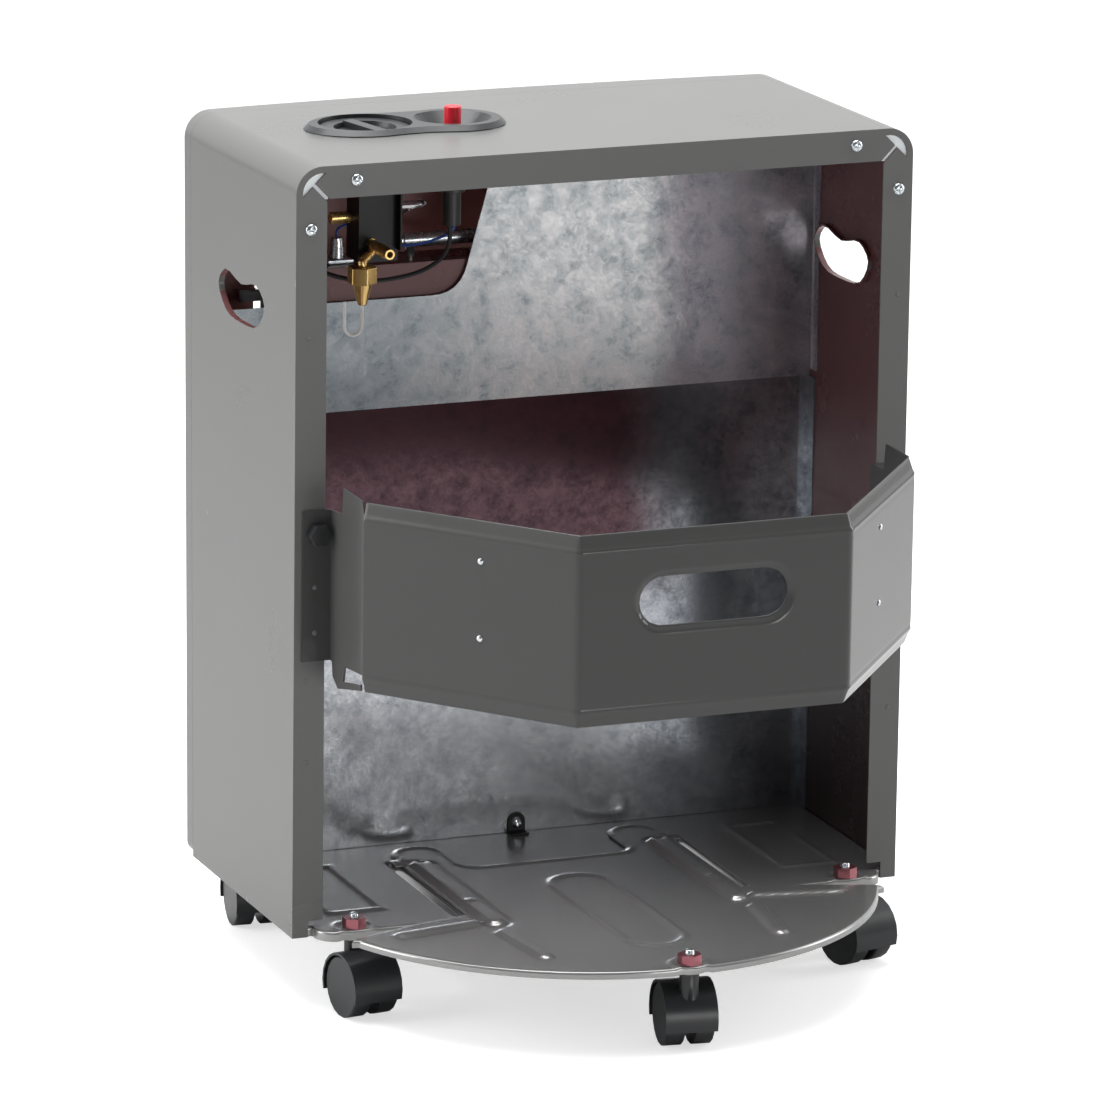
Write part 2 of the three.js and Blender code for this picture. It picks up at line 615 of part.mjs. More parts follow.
// wires bowed like the panel, welded to a frame whose lugs lie behind the panel sheet
function frontGuard() {
  const half = WINDOW_HALF_WIDTH - 6;
  const bottom = WINDOW_BOTTOM + 6;
  const top = WINDOW_TOP - 6;
  const rowPath = (z, overrun) => {
    const points = [];
    for (let i = 0; i <= ARC_STEPS; i++) {
      const x = -half - overrun + (2 * (half + overrun) * i) / ARC_STEPS;
      points.push([x, bowY(x, GUARD_RECESS), z]);
    }
    return points;
  };
  let guard = null;
  for (let i = 0; i < GUARD_ROWS; i++) {
    const z = bottom + ((top - bottom) * i) / (GUARD_ROWS - 1);
    const edge = i === 0 || i === GUARD_ROWS - 1;
    const row = bar(rowPath(z, 0), edge ? GUARD_FRAME_WIRE : GUARD_WIRE, 6, ARC_STEPS);
    guard = guard ? guard.add(row) : row;
  }
  for (let i = 0; i < GUARD_UPRIGHTS; i++) {
    const x = -half + (2 * half * i) / (GUARD_UPRIGHTS - 1);
    const edge = i === 0 || i === GUARD_UPRIGHTS - 1;
    const radius = edge ? GUARD_FRAME_WIRE : GUARD_WIRE;
    guard = guard.add(postZ(x, bowY(x, GUARD_RECESS), bottom, top, radius, radius, 6));
  }
  const clearOfSheet = SHEET + CLEAR;
  for (const side of [-1, 1]) {
    for (const z of [bottom + GUARD_LUG, top - GUARD_LUG]) {
      const x0 = side * (half - 2);
      const x1 = side * (WINDOW_HALF_WIDTH + GUARD_LUG);
      const front = bowY(x1, clearOfSheet) + 0.6;
      guard = guard.add(box(Math.min(x0, x1), Math.max(x0, x1), front, front + 8, z - 5, z + 5));
    }
  }
  return lean(guard);
}

// ---------------------------------------------------------------- base plate and tray
function basePlan(inset) {
  const half = WALL_INNER - CLEAR - inset;
  const ledge = BASE_LEDGE_HALF_WIDTH - inset;
  const rear = BASE_LEDGE - inset;
  const radius = BASE_LEDGE_RADIUS - inset;
  const neck = -SHEET - CLEAR - inset;
  const front = -CABINET_DEPTH + 4 + inset;
  const shape = new THREE.Shape();
  shape.moveTo(-half, front);
  shape.lineTo(half, front);
  shape.lineTo(half, neck);
  shape.lineTo(ledge, neck);
  shape.lineTo(ledge, rear - radius);
  shape.absarc(ledge - radius, rear - radius, radius, 0, Math.PI / 2, false);
  shape.lineTo(-ledge + radius, rear);
  shape.absarc(-ledge + radius, rear - radius, radius, Math.PI / 2, Math.PI, false);
  shape.lineTo(-ledge, neck);
  shape.lineTo(-half, neck);
  return shape;
}

function basePlate() {
  let plate = prismZ(basePlan(0), BASE_TOP - BASE_RIM, BASE_TOP);
  plate = plate.subtract(prismZ(basePlan(SHEET), BASE_TOP - BASE_RIM - 1, BASE_TOP - SHEET));
  const slotEnd = SLOT_WIDTH / 2 - 0.01;
  for (const side of [-1, 1]) {
    const x = side * SLOT_CENTRE_X;
    const slot = roundedRect(x - SLOT_WIDTH / 2, x + SLOT_WIDTH / 2, SLOT_FRONT, SLOT_REAR, slotEnd);
    plate = plate.subtract(prismZ(slot, BASE_TOP - SHEET - 1, BASE_TOP + 1, 4));
    for (const y of [CASTOR_FRONT_Y, CASTOR_REAR_Y]) {
      plate = plate.subtract(postZ(
        side * CASTOR_X, y, BASE_TOP - SHEET - 1, BASE_TOP + 1, STEM_RADIUS + CLEAR));
    }
  }
  return plate;
}

// half outline of the tray from the middle of its round rear edge to the middle of its inner edge
function trayHalf(inset) {
  const radius = TRAY_ARC_RADIUS - inset;
  const points = [];
  const earAngle = Math.acos((TRAY_EAR_X - TRAY_EAR_RADIUS * 0.4) / TRAY_ARC_RADIUS);
  for (let i = 0; i <= 3 * ARC_STEPS; i++) {
    const angle = Math.PI / 2 - ((Math.PI / 2 - earAngle) * i) / (3 * ARC_STEPS);
    points.push([radius * Math.cos(angle), TRAY_ARC_Y + radius * Math.sin(angle)]);
  }
  points.push([TRAY_EAR_X - inset, TRAY_EAR_Y + TRAY_EAR_RADIUS * 0.35]);
  points.push([TRAY_EAR_X - TRAY_EAR_RADIUS * 0.5 - inset, TRAY_EAR_Y - 1]);
  points.push([TONGUE_OUTER_X + 45, BASE_LEDGE + 4]);
  points.push([TONGUE_OUTER_X, TRAY_NECK_Y]);
  const middle = (TONGUE_INNER_X + TONGUE_OUTER_X) / 2;
  const tip = (TONGUE_OUTER_X - TONGUE_INNER_X) / 2;
  for (let i = 0; i <= ARC_STEPS; i++) {
    const angle = (Math.PI * i) / ARC_STEPS;
    points.push([middle + tip * Math.cos(angle), TONGUE_TIP + tip - tip * Math.sin(angle)]);
  }
  for (let i = 0; i <= ARC_STEPS / 2; i++) {
    const angle = (Math.PI / 2) * (i / (ARC_STEPS / 2));
    points.push([
      TONGUE_INNER_X - TONGUE_COVE + TONGUE_COVE * Math.cos(angle),
      TRAY_INNER_EDGE - TONGUE_COVE + TONGUE_COVE * Math.sin(angle)]);
  }
  return points;
}

function trayPlan(inset) {
  const half = trayHalf(inset);
  const mirrored = half.slice(1).reverse().map(([x, y]) => [-x, y]);
  return new THREE.Shape([...half, ...mirrored].map(([x, y]) => new THREE.Vector2(x, y)));
}

function rearTray() {
  const sheetBottom = TRAY_TOP - TRAY_SHEET;
  let tray = prismZ(trayPlan(0), sheetBottom, TRAY_TOP);
  const rim = prismZ(trayPlan(0), TRAY_TOP - TRAY_RIM, TRAY_TOP - 0.5)
    .subtract(prismZ(trayPlan(TRAY_SHEET), TRAY_TOP - TRAY_RIM - 1, TRAY_TOP));
  const behind = box(
    -HALF_WIDTH, HALF_WIDTH, TRAY_EAR_Y + TRAY_EAR_RADIUS * 0.5, TRAY_REAR + 1, 0, CABINET_TOP);
  tray = tray.add(rim.intersect(behind));
  const tabFront = SLOT_FRONT + TAB_END_GAP;
  const tabRear = tabFront + TAB_LENGTH;
  const footTop = BASE_TOP - SHEET - CLEAR;
  for (const side of [-1, 1]) {
    const x = side * SLOT_CENTRE_X;
    const arm = [side * (TONGUE_OUTER_X - 2), x + (side * TAB_SHEET) / 2];
    const armBox = box(Math.min(...arm), Math.max(...arm), tabFront, tabRear, sheetBottom, TRAY_TOP);
    const web = box(x - TAB_SHEET / 2, x + TAB_SHEET / 2, tabFront, tabRear, footTop - 2, TRAY_TOP);
    const foot = box(x - TAB_FOOT / 2, x + TAB_FOOT / 2, tabFront, tabRear, footTop - 2, footTop);
    tray = tray.add(armBox).add(web).add(foot);
  }
  return tray.subtract(postZ(0, TRAY_CASTOR_Y, sheetBottom - 1, TRAY_TOP + 1, STEM_RADIUS + CLEAR));
}

// ---------------------------------------------------------------- partition
function sideFlanges(sheet, y, z0, z1, sides = [-1, 1]) {
  let flanged = sheet;
  for (const side of sides) {
    const x = side * (WALL_INNER - CLEAR);
    const inner = x - side * THIN_SHEET;
    flanged = flanged.add(box(
      Math.min(x, inner), Math.max(x, inner), y - THIN_SHEET, y + PARTITION_FLANGE, z0, z1));
  }
  return flanged;
}

function partitionLower() {
  const half = WALL_INNER - CLEAR;
  const front = PARTITION_LOWER_Y - THIN_SHEET;
  const sheet = box(
    -half, half, front, PARTITION_LOWER_Y, BASE_TOP + CLEAR, PARTITION_JOINT + PARTITION_LAP);
  return sideFlanges(sheet, PARTITION_LOWER_Y, BASE_TOP + CLEAR, PARTITION_JOINT - CLEAR).subtract(postY(
    CATCH_X, CATCH_SCREW_Z, PARTITION_LOWER_Y - THIN_SHEET - 1, PARTITION_LOWER_Y + 1, SCREW_SHANK + CLEAR));
}

function partitionUpper() {
  const half = WALL_INNER - CLEAR;
  const top = topAt(PARTITION_UPPER_Y) - SHEET - 2 * CLEAR;
  const shape = new THREE.Shape();
  const edgeAngle = Math.atan2(top - CUTOUT_BOTTOM, CUTOUT_SLANT);
  const reach = CUTOUT_RADIUS / Math.tan(edgeAngle / 2);
  shape.moveTo(-half + CORNER_RADIUS, top);
  shape.lineTo(-half, top - CORNER_RADIUS);
  shape.lineTo(-half, PARTITION_JOINT);
  shape.lineTo(half, PARTITION_JOINT);
  shape.lineTo(half, CUTOUT_BOTTOM);
  shape.lineTo(CUTOUT_X + reach, CUTOUT_BOTTOM);
  const cornerX = CUTOUT_X + reach - (CUTOUT_RADIUS * Math.tan(edgeAngle / 2) + reach) / 2;
  shape.quadraticCurveTo(cornerX, CUTOUT_BOTTOM, cornerX - 6, CUTOUT_BOTTOM + CUTOUT_RADIUS);
  shape.lineTo(cornerX - 6 - CUTOUT_SLANT, top);
  const sheet = prismY(shape, PARTITION_UPPER_Y - THIN_SHEET, PARTITION_UPPER_Y, 6);
  const hem = box(
    -half, half, PARTITION_LOWER_Y + CLEAR, PARTITION_UPPER_Y, PARTITION_JOINT, PARTITION_JOINT + THIN_SHEET);
  const overlap = PARTITION_JOINT + PARTITION_LAP + CLEAR;
  const flanged = sideFlanges(sheet.add(hem), PARTITION_UPPER_Y, overlap, top - 1.5 * CORNER_RADIUS, [-1]);
  return flanged.subtract(lean(prismX(handholdOutline(-2), -HALF_WIDTH, -HALF_WIDTH + 10)));
}

function baseCatch() {
  const shape = new THREE.Shape();
  const half = CATCH_WIDTH / 2;
  const round = BASE_TOP + CATCH_HEIGHT - half;
  shape.moveTo(CATCH_X - half, BASE_TOP + CLEAR);
  shape.lineTo(CATCH_X + half, BASE_TOP + CLEAR);
  shape.lineTo(CATCH_X + half, round);
  shape.absarc(CATCH_X, round, half, 0, Math.PI, false);
  const tab = prismY(shape, PARTITION_LOWER_Y + CLEAR, PARTITION_LOWER_Y + CLEAR + SHEET);
  const foot = box(
    CATCH_X - half, CATCH_X + half, PARTITION_LOWER_Y + CLEAR, PARTITION_LOWER_Y + half + 4,
    BASE_TOP + CLEAR, BASE_TOP + CLEAR + SHEET);
  const hole = postY(CATCH_X, CATCH_SCREW_Z, PARTITION_LOWER_Y, PARTITION_LOWER_Y + 4, SCREW_SHANK + CLEAR);
  return tab.add(foot).subtract(hole);
}

// round-headed screw driven towards the front, its head seated just behind a face
function screw(x, z, seatY, sides = 14) {
  const profile = [
    [0, -SCREW_LENGTH], [SCREW_SHANK, -SCREW_LENGTH], [SCREW_SHANK, 0], [SCREW_HEAD, 0],
    [SCREW_HEAD * 0.92, SCREW_HEAD_HEIGHT * 0.5], [SCREW_HEAD * 0.6, SCREW_HEAD_HEIGHT * 0.9],
    [0, SCREW_HEAD_HEIGHT]];
  const geometry = new THREE.LatheGeometry(profile.map(([r, y]) => new THREE.Vector2(r, y)), sides);
  geometry.translate(x, seatY, z);
  return closed(geometry);
}

// ---------------------------------------------------------------- burner
function burnerHousing() {
  const front = HOUSING_BACK - HOUSING_DEPTH;
  const outer = box(
    -HOUSING_HALF_WIDTH, HOUSING_HALF_WIDTH, front, HOUSING_BACK, HOUSING_BOTTOM, HOUSING_TOP);
  const inner = box(
    -HOUSING_HALF_WIDTH + THIN_SHEET, HOUSING_HALF_WIDTH - THIN_SHEET, front - 1, HOUSING_BACK - THIN_SHEET,
    HOUSING_BOTTOM + THIN_SHEET, HOUSING_TOP - THIN_SHEET);
  const seat = box(
    -HOUSING_HALF_WIDTH + 1, HOUSING_HALF_WIDTH - 1, plaqueBack() + CLEAR, HOUSING_BACK - 0.5,
    (HOUSING_BOTTOM + HOUSING_TOP) / 2 - 20, (HOUSING_BOTTOM + HOUSING_TOP) / 2 + 20);
  return outer.subtract(inner).add(seat);
}

function plaqueBack() {
  return HOUSING_BACK - HOUSING_DEPTH + PLAQUE_STEP + PLAQUE_THICKNESS;
}

function burnerPlaque(index) {
  const x = PLAQUE_PITCH * (index - (PLAQUE_COUNT - 1) / 2);
  const back = plaqueBack();
  return box(
    x - PLAQUE_WIDTH / 2, x + PLAQUE_WIDTH / 2, back - PLAQUE_THICKNESS, back,
    HOUSING_BOTTOM + PLAQUE_MARGIN, HOUSING_TOP - PLAQUE_MARGIN);
}

function gasManifold() {
  let manifold = postX(MANIFOLD_Y, MANIFOLD_Z, MANIFOLD_RIGHT, MANIFOLD_LEFT, MANIFOLD_RADIUS, 12);
  for (let i = 0; i < PLAQUE_COUNT; i++) {
    const x = Math.min(PLAQUE_PITCH * (i - (PLAQUE_COUNT - 1) / 2), MANIFOLD_LEFT - INJECTOR_RADIUS - 2);
    manifold = manifold.add(postZ(
      x, MANIFOLD_Y, HOUSING_TOP + CLEAR, MANIFOLD_Z, INJECTOR_RADIUS, INJECTOR_RADIUS, 10));
  }
  return manifold;
}

function gasPipe() {
  const start = VALVE_X - VALVE_HALF_WIDTH - CLEAR;
  const end = MANIFOLD_LEFT + CLEAR;
  const bendX = end + 9;
  return bar([
    [start, KNOB_Y, PIPE_Z], [bendX + 3, KNOB_Y, PIPE_Z], [bendX, KNOB_Y - 8, PIPE_Z - 1],
    [bendX, KNOB_Y - 45, PIPE_Z - 14], [bendX + 5, MANIFOLD_Y + 6, MANIFOLD_Z + 18],
    [bendX, MANIFOLD_Y, MANIFOLD_Z + 3], [end + 7, MANIFOLD_Y, MANIFOLD_Z], [end, MANIFOLD_Y, MANIFOLD_Z]],
  PIPE_RADIUS, 8, 24);
}

function pilotBurner() {
  const z = HOUSING_TOP + CLEAR;
  const half = PILOT_SIZE / 2;
  const block = box(PILOT_X - half, PILOT_X + half, MANIFOLD_Y - half, MANIFOLD_Y + half, z, z + 3);
  const body = postZ(PILOT_X, MANIFOLD_Y, z, z + PILOT_HEIGHT, 7, 5, 12);
  return block.add(body);
}

// ---------------------------------------------------------------- valve, knob and igniter
const KNOB_TOP = topAt(KNOB_Y) + KNOB_RISE;
const KNOB_BOTTOM = KNOB_TOP - KNOB_HEIGHT;

function gasValve() {
  const rear = BRACKET_REAR - SHEET - CLEAR;
  const block = box(
    VALVE_X - VALVE_HALF_WIDTH, VALVE_X + VALVE_HALF_WIDTH, VALVE_FRONT, rear, VALVE_BOTTOM, VALVE_TOP);
  const neck = postZ(KNOB_X, KNOB_Y, VALVE_TOP - 1, VALVE_TOP + VALVE_NECK, VALVE_NECK_RADIUS);
  const bore = postZ(
    KNOB_X, KNOB_Y, VALVE_TOP - KNOB_PUSH - 2, VALVE_TOP + VALVE_NECK + 1, SLEEVE_RADIUS + CLEAR);
  const shaftBore = postZ(
    KNOB_X, KNOB_Y, VALVE_TOP - SLEEVE_LENGTH - KNOB_PUSH - 8, VALVE_TOP, SPINDLE_RADIUS + CLEAR);
  const side = VALVE_X + VALVE_HALF_WIDTH;
  const outlet = postX(KNOB_Y, OUTLET_Z, side - 1, side + OUTLET_LENGTH, OUTLET_RADIUS, 12);
  return block.add(neck).add(outlet).subtract(bore).subtract(shaftBore);
}

function valveBracket() {
  const top = topAt(BRACKET_REAR - BRACKET_RETURN) - SHEET - CLEAR;
  const x0 = VALVE_X - BRACKET_HALF_WIDTH;
  const x1 = VALVE_X + BRACKET_HALF_WIDTH;
  const front = BRACKET_REAR - BRACKET_RETURN;
  const plate = box(x0, x1, BRACKET_REAR - SHEET, BRACKET_REAR, BRACKET_BOTTOM, top);
  const left = box(x1 - SHEET, x1, front, BRACKET_REAR - SHEET + 0.1, BRACKET_BOTTOM, top);
  const sheetFront = BRACKET_REAR - SHEET;
  const right = box(x0, x0 + SHEET, sheetFront, BRACKET_REAR + BRACKET_LIP, BRACKET_BOTTOM + 10, top);
  const hole = postY(NOZZLE_X, NOZZLE_Z, sheetFront - 1, BRACKET_REAR + 1, NOZZLE_RADIUS + 2 * CLEAR);
  const outletHole = postX(KNOB_Y, OUTLET_Z, x1 - SHEET - 1, x1 + 1, OUTLET_RADIUS + 2 * CLEAR, 12);
  const cup = KNOB_RADIUS + KNOB_GAP + BEZEL_WALL + 1;
  const cupRoom = postZ(KNOB_X, KNOB_Y, topAt(KNOB_Y) - BEZEL_CUP_DEPTH - 3, CABINET_TOP, cup, cup, 32);
  return plate.add(left).add(right).subtract(hole).subtract(outletHole).subtract(cupRoom);
}

function pushSleeve() {
  const bottom = VALVE_TOP;
  const ring = postZ(KNOB_X, KNOB_Y, bottom, bottom + SLEEVE_LENGTH, SLEEVE_RADIUS);
  return ring.subtract(postZ(KNOB_X, KNOB_Y, bottom - 1, bottom + SLEEVE_LENGTH + 1, SPINDLE_RADIUS + CLEAR));
}

function valveSpindle() {
  const bottom = VALVE_TOP - SLEEVE_LENGTH;
  const top = KNOB_BOTTOM + 4;
  const shaft = postZ(KNOB_X, KNOB_Y, bottom, top, SPINDLE_RADIUS);
  const flat = box(
    KNOB_X + SPINDLE_RADIUS * 0.6, KNOB_X + SPINDLE_RADIUS + 1, KNOB_Y - 6, KNOB_Y + 6,
    VALVE_TOP + SLEEVE_LENGTH + 1, top + 1);
  return shaft.subtract(flat);
}

function controlKnob() {
  const sides = 32;
  let knob = postZ(KNOB_X, KNOB_Y, KNOB_BOTTOM, KNOB_TOP, KNOB_RADIUS, KNOB_RADIUS, sides);
  const dish = postZ(
    KNOB_X, KNOB_Y, KNOB_TOP - KNOB_DISH_DEPTH, KNOB_TOP + 1, KNOB_DISH_RADIUS - 2, KNOB_DISH_RADIUS, sides);
  knob = knob.subtract(dish);
  const grip = box(
    -KNOB_DISH_RADIUS + 0.5, KNOB_DISH_RADIUS - 0.5, -KNOB_GRIP_WIDTH / 2, KNOB_GRIP_WIDTH / 2,
    KNOB_TOP - KNOB_DISH_DEPTH - 1, KNOB_TOP + KNOB_GRIP_RISE);
  knob = knob.add(grip.rotate([0, 0, KNOB_GRIP_TURN]).translate([KNOB_X, KNOB_Y, 0]));
  const socket = postZ(KNOB_X, KNOB_Y, KNOB_BOTTOM - 1, KNOB_BOTTOM + 4 + CLEAR, SPINDLE_RADIUS + CLEAR);
  return knob.subtract(socket);
}

// figure-of-eight plan: two round lobes with a shallow waist between them
function bezelPlan() {
  const points = [];
  const steps = 14;
  const depth = BEZEL_KNOB_LOBE * BEZEL_DEPTH_RATIO;
  const open = Math.PI * 0.62;
  for (let i = 0; i <= steps; i++) {
    const angle = -open + (2 * open * i) / steps;
    points.push([KNOB_X + BEZEL_KNOB_LOBE * Math.cos(angle), KNOB_Y + depth * Math.sin(angle)]);
  }
  const waistX = (KNOB_X - BEZEL_KNOB_LOBE + BUTTON_X + BEZEL_BUTTON_LOBE) / 2;
  const waist = depth - BEZEL_WAIST;
  points.push([waistX, KNOB_Y + waist]);
  for (let i = 0; i <= steps; i++) {
    const angle = Math.PI - open + (2 * open * i) / steps;
    points.push([
      BUTTON_X + BEZEL_BUTTON_LOBE * Math.cos(angle), BUTTON_Y + BEZEL_BUTTON_LOBE * Math.sin(angle)]);
  }
  points.push([waistX, KNOB_Y - waist]);
  return new THREE.Shape(points.map(([x, y]) => new THREE.Vector2(x, y)));
}

function controlBezel() {
  const seat = CABINET_TOP + CLEAR;
  const top = CABINET_TOP + BEZEL_HEIGHT;
  const floor = CABINET_TOP - BEZEL_CUP_DEPTH;
  const bore = KNOB_RADIUS + KNOB_GAP;
  const plate = new THREE.ExtrudeGeometry(bezelPlan(), {
    depth: 2 * BEZEL_BEVEL, bevelThickness: BEZEL_BEVEL, bevelSize: BEZEL_BEVEL, bevelOffset: -BEZEL_BEVEL,
    bevelSegments: 1,
  });
  plate.translate(0, 0, top - 3 * BEZEL_BEVEL);
  const under = box(0, HALF_WIDTH, -CABINET_DEPTH, 0, top - 5 * BEZEL_BEVEL, seat);
  let bezel = closed(plate).subtract(under);
  bezel = bezel.add(postZ(KNOB_X, KNOB_Y, floor, seat + 1, bore + BEZEL_WALL, bore + BEZEL_WALL, 32));
  const dishFloor = top - DISH_DEPTH;
  bezel = bezel.add(postZ(
    BUTTON_X, BUTTON_Y, dishFloor - BEZEL_WALL, seat + 1, DISH_FLOOR_RADIUS + BEZEL_WALL, DISH_TOP_RADIUS, 32));
  bezel = bezel.subtract(postZ(KNOB_X, KNOB_Y, floor + BEZEL_WALL, top + 1, bore, bore, 32));
  bezel = bezel.subtract(postZ(KNOB_X, KNOB_Y, floor - 1, top, SLEEVE_RADIUS + 3));
  bezel = bezel.subtract(postZ(
    BUTTON_X, BUTTON_Y, dishFloor, top + 0.01, DISH_FLOOR_RADIUS, DISH_TOP_RADIUS, 32));
  bezel = bezel.subtract(postZ(BUTTON_X, BUTTON_Y, floor - 1, top, BUTTON_RADIUS + BUTTON_GAP + 0.6));
  return slope(bezel);
}

function igniterTop() {
  return topAt(BUTTON_Y - IGNITER_RADIUS) + BEZEL_HEIGHT - DISH_DEPTH - BEZEL_WALL - CLEAR;
}

function igniterBody() {
  const top = igniterTop();
  const body = postZ(BUTTON_X, BUTTON_Y, IGNITER_WAIST, top, IGNITER_RADIUS);
  const neck = postZ(BUTTON_X, BUTTON_Y, IGNITER_BOTTOM, IGNITER_WAIST + 1, IGNITER_NECK_RADIUS);
  const bore = postZ(
    BUTTON_X, BUTTON_Y, BUTTON_TOP - BUTTON_LENGTH - BUTTON_TRAVEL - 2, top + 1, BUTTON_RADIUS + BUTTON_GAP);
  return body.add(neck).subtract(bore);
}

function ignitionButton() {
  return postZ(BUTTON_X, BUTTON_Y, BUTTON_TOP - BUTTON_LENGTH, BUTTON_TOP, BUTTON_RADIUS);
}

function igniterLead() {
  const z = HOUSING_TOP + CLEAR + PILOT_HEIGHT;
  const x = BUTTON_X - 3.5;
  return bar([
    [x, BUTTON_Y - 3, IGNITER_BOTTOM - CLEAR], [x + 1, BUTTON_Y - 3, IGNITER_BOTTOM - 5],
    [x + 18, BUTTON_Y - 8, IGNITER_BOTTOM - 14], [118, -162, IGNITER_BOTTOM - 18],
    [130, -185, IGNITER_BOTTOM - 16], [142, -208, IGNITER_BOTTOM - 8],
    [PILOT_X, MANIFOLD_Y, z + 6], [PILOT_X, MANIFOLD_Y, z + CLEAR]], LEAD_RADIUS, 6, 32);
}

function groundLead() {
  const x = BUTTON_X + 2.5;
  const y = BUTTON_Y + 3;
  const z = HOUSING_TOP + CLEAR + 3;
  const sag = IGNITER_BOTTOM - 39.5;
  return bar([
    [x, y, IGNITER_BOTTOM - CLEAR], [x, y, IGNITER_BOTTOM - 12], [x + 6, y + 1, sag + 14.5],
    [105, -140, sag + 4.5], [128, -137, sag + 0.5], [152, -135, sag], [180, -139, sag + 4.5],
    [206, -154, sag + 15.5], [214, -182, sag + 19.5], [210, -210, sag + 15.5],
    [190, MANIFOLD_Y, sag + 8.5], [PILOT_X + 18, MANIFOLD_Y, z + 5],
    [PILOT_X + 7.5 + CLEAR, MANIFOLD_Y, z + 5]], GROUND_LEAD_RADIUS, 8, 40);
}

// ---------------------------------------------------------------- gas inlet
function hoseNozzle() {
  const back = BRACKET_REAR - SHEET - CLEAR + 0.1;
  let nozzle = postY(NOZZLE_X, NOZZLE_Z, back, NOZZLE_END_Y, NOZZLE_RADIUS);
  for (let i = 0; i < NOZZLE_RIDGES; i++) {
    const y = NOZZLE_END_Y - 8 - i * 7;
    nozzle = nozzle.add(postY(NOZZLE_X, NOZZLE_Z, y, y + 5, NOZZLE_RIDGE, NOZZLE_RADIUS));
  }
  const rootY = BRACKET_REAR + NOZZLE_RADIUS + 2;
  const foot = UNION_TOP + CLEAR;
  nozzle = nozzle.add(bar([
    [NOZZLE_X, rootY, NOZZLE_Z], [NOZZLE_X + 3, rootY, NOZZLE_Z - 5], [INLET_X, INLET_Y, foot + 3],
    [INLET_X, INLET_Y, foot]], NOZZLE_RADIUS - 0.4, 12, 8));
  return nozzle.subtract(postY(NOZZLE_X, NOZZLE_Z, rootY + 6, NOZZLE_END_Y + 1, NOZZLE_BORE));
}

function unionNut() {
  const bottom = UNION_TOP - UNION_HEIGHT;
  const nut = prismZ(hexagon(INLET_X, INLET_Y, UNION_FLATS), bottom, UNION_TOP);
  const cone = postZ(
    INLET_X, INLET_Y, bottom - CONE_LENGTH, bottom + 1, CONE_TIP_RADIUS, CONE_TOP_RADIUS, 16);
  return nut.add(cone);
}

function wireHook() {
  const tip = UNION_TOP - UNION_HEIGHT - CONE_LENGTH - CLEAR;
  const points = [[INLET_X, INLET_Y, tip], [INLET_X, INLET_Y, tip - HOOK_DROP / 2]];
  const radius = HOOK_WIDTH / 2;
  for (let i = 1; i < ARC_STEPS; i++) {
    const angle = Math.PI + (Math.PI * i) / ARC_STEPS;
    const x = INLET_X + radius + radius * Math.cos(angle);
    points.push([x, INLET_Y, tip - HOOK_DROP + radius * (1 + Math.sin(angle))]);
  }
  points.push([INLET_X + HOOK_WIDTH, INLET_Y, tip - HOOK_DROP / 2]);
  points.push([INLET_X + HOOK_WIDTH, INLET_Y, tip + 4]);
  return bar(points, HOOK_WIRE, 6, 24);
}

// ---------------------------------------------------------------- guard belt
// section of the belt: distance outwards from the panel face, and height
function beltSection() {
  const edge = BELT_EDGE;
  const leanIn = -BELT_EDGE_LEAN;
  return [
    [0, BELT_BOTTOM + edge], [0, BELT_TOP - edge], [leanIn, BELT_TOP], [leanIn - SHEET, BELT_TOP],
    [-SHEET, BELT_TOP - edge - 0.4], [-SHEET, BELT_BOTTOM + edge + 0.4], [leanIn - SHEET, BELT_BOTTOM],
    [leanIn, BELT_BOTTOM]];
}

// a closed section carried along a plan line, mitred at its bends
function sweep(section, plan) {
  const normals = [];
  for (let i = 0; i + 1 < plan.length; i++) {
    const run = new THREE.Vector2(plan[i + 1][0] - plan[i][0], plan[i + 1][1] - plan[i][1]).normalize();
    normals.push(new THREE.Vector2(run.y, -run.x));
  }
  const positions = [];
  plan.forEach(([x, y], i) => {
    const before = normals[Math.max(i - 1, 0)];
    const after = normals[Math.min(i, normals.length - 1)];
    const mitre = before.clone().add(after).normalize();
    mitre.divideScalar(mitre.dot(after));
    for (const [out, z] of section) positions.push(x + mitre.x * out, y + mitre.y * out, z);
  });
  const count = section.length;
  const index = [];
  for (let i = 0; i + 1 < plan.length; i++) {
    for (let j = 0; j < count; j++) {
      const k = (j + 1) % count;
      const a = i * count + j;
      const b = i * count + k;
      index.push(a, b + count, b, a, a + count, b + count);
    }
  }
  const contour = section.map(([out, z]) => new THREE.Vector2(out, z));
  const last = (plan.length - 1) * count;
  for (const [a, b, c] of THREE.ShapeUtils.triangulateShape(contour, [])) {
    index.push(a, b, c);
    index.push(last + a, last + c, last + b);
  }
  const geometry = new THREE.BufferGeometry();
  geometry.setAttribute('position', new THREE.Float32BufferAttribute(positions, 3));
  geometry.setIndex(index);
  return closed(geometry);
}

function belt() {
  const plan = [
    [BELT_END_X, BELT_END_Y], [BELT_BEND_X, BELT_BEND_Y],
    [-BELT_BEND_X, BELT_BEND_Y], [-BELT_END_X, BELT_END_Y]];
  let band = sweep(beltSection(), plan);
  const middle = (BELT_BOTTOM + BELT_TOP) / 2 + BELT_SLOT_RISE;
  const halfHeight = BELT_SLOT_HEIGHT / 2;
  const slot = (inset) => roundedRect(
    -BELT_SLOT_HALF_LENGTH + inset, BELT_SLOT_HALF_LENGTH - inset,
    middle - halfHeight + inset, middle + halfHeight - inset, halfHeight - inset - 0.01);
  band = band.add(prismY(slot(0), BELT_BEND_Y - SHEET - BELT_SLOT_LIP, BELT_BEND_Y));
  return band.subtract(prismY(slot(SHEET), BELT_BEND_Y - 20, BELT_BEND_Y + 1));
}

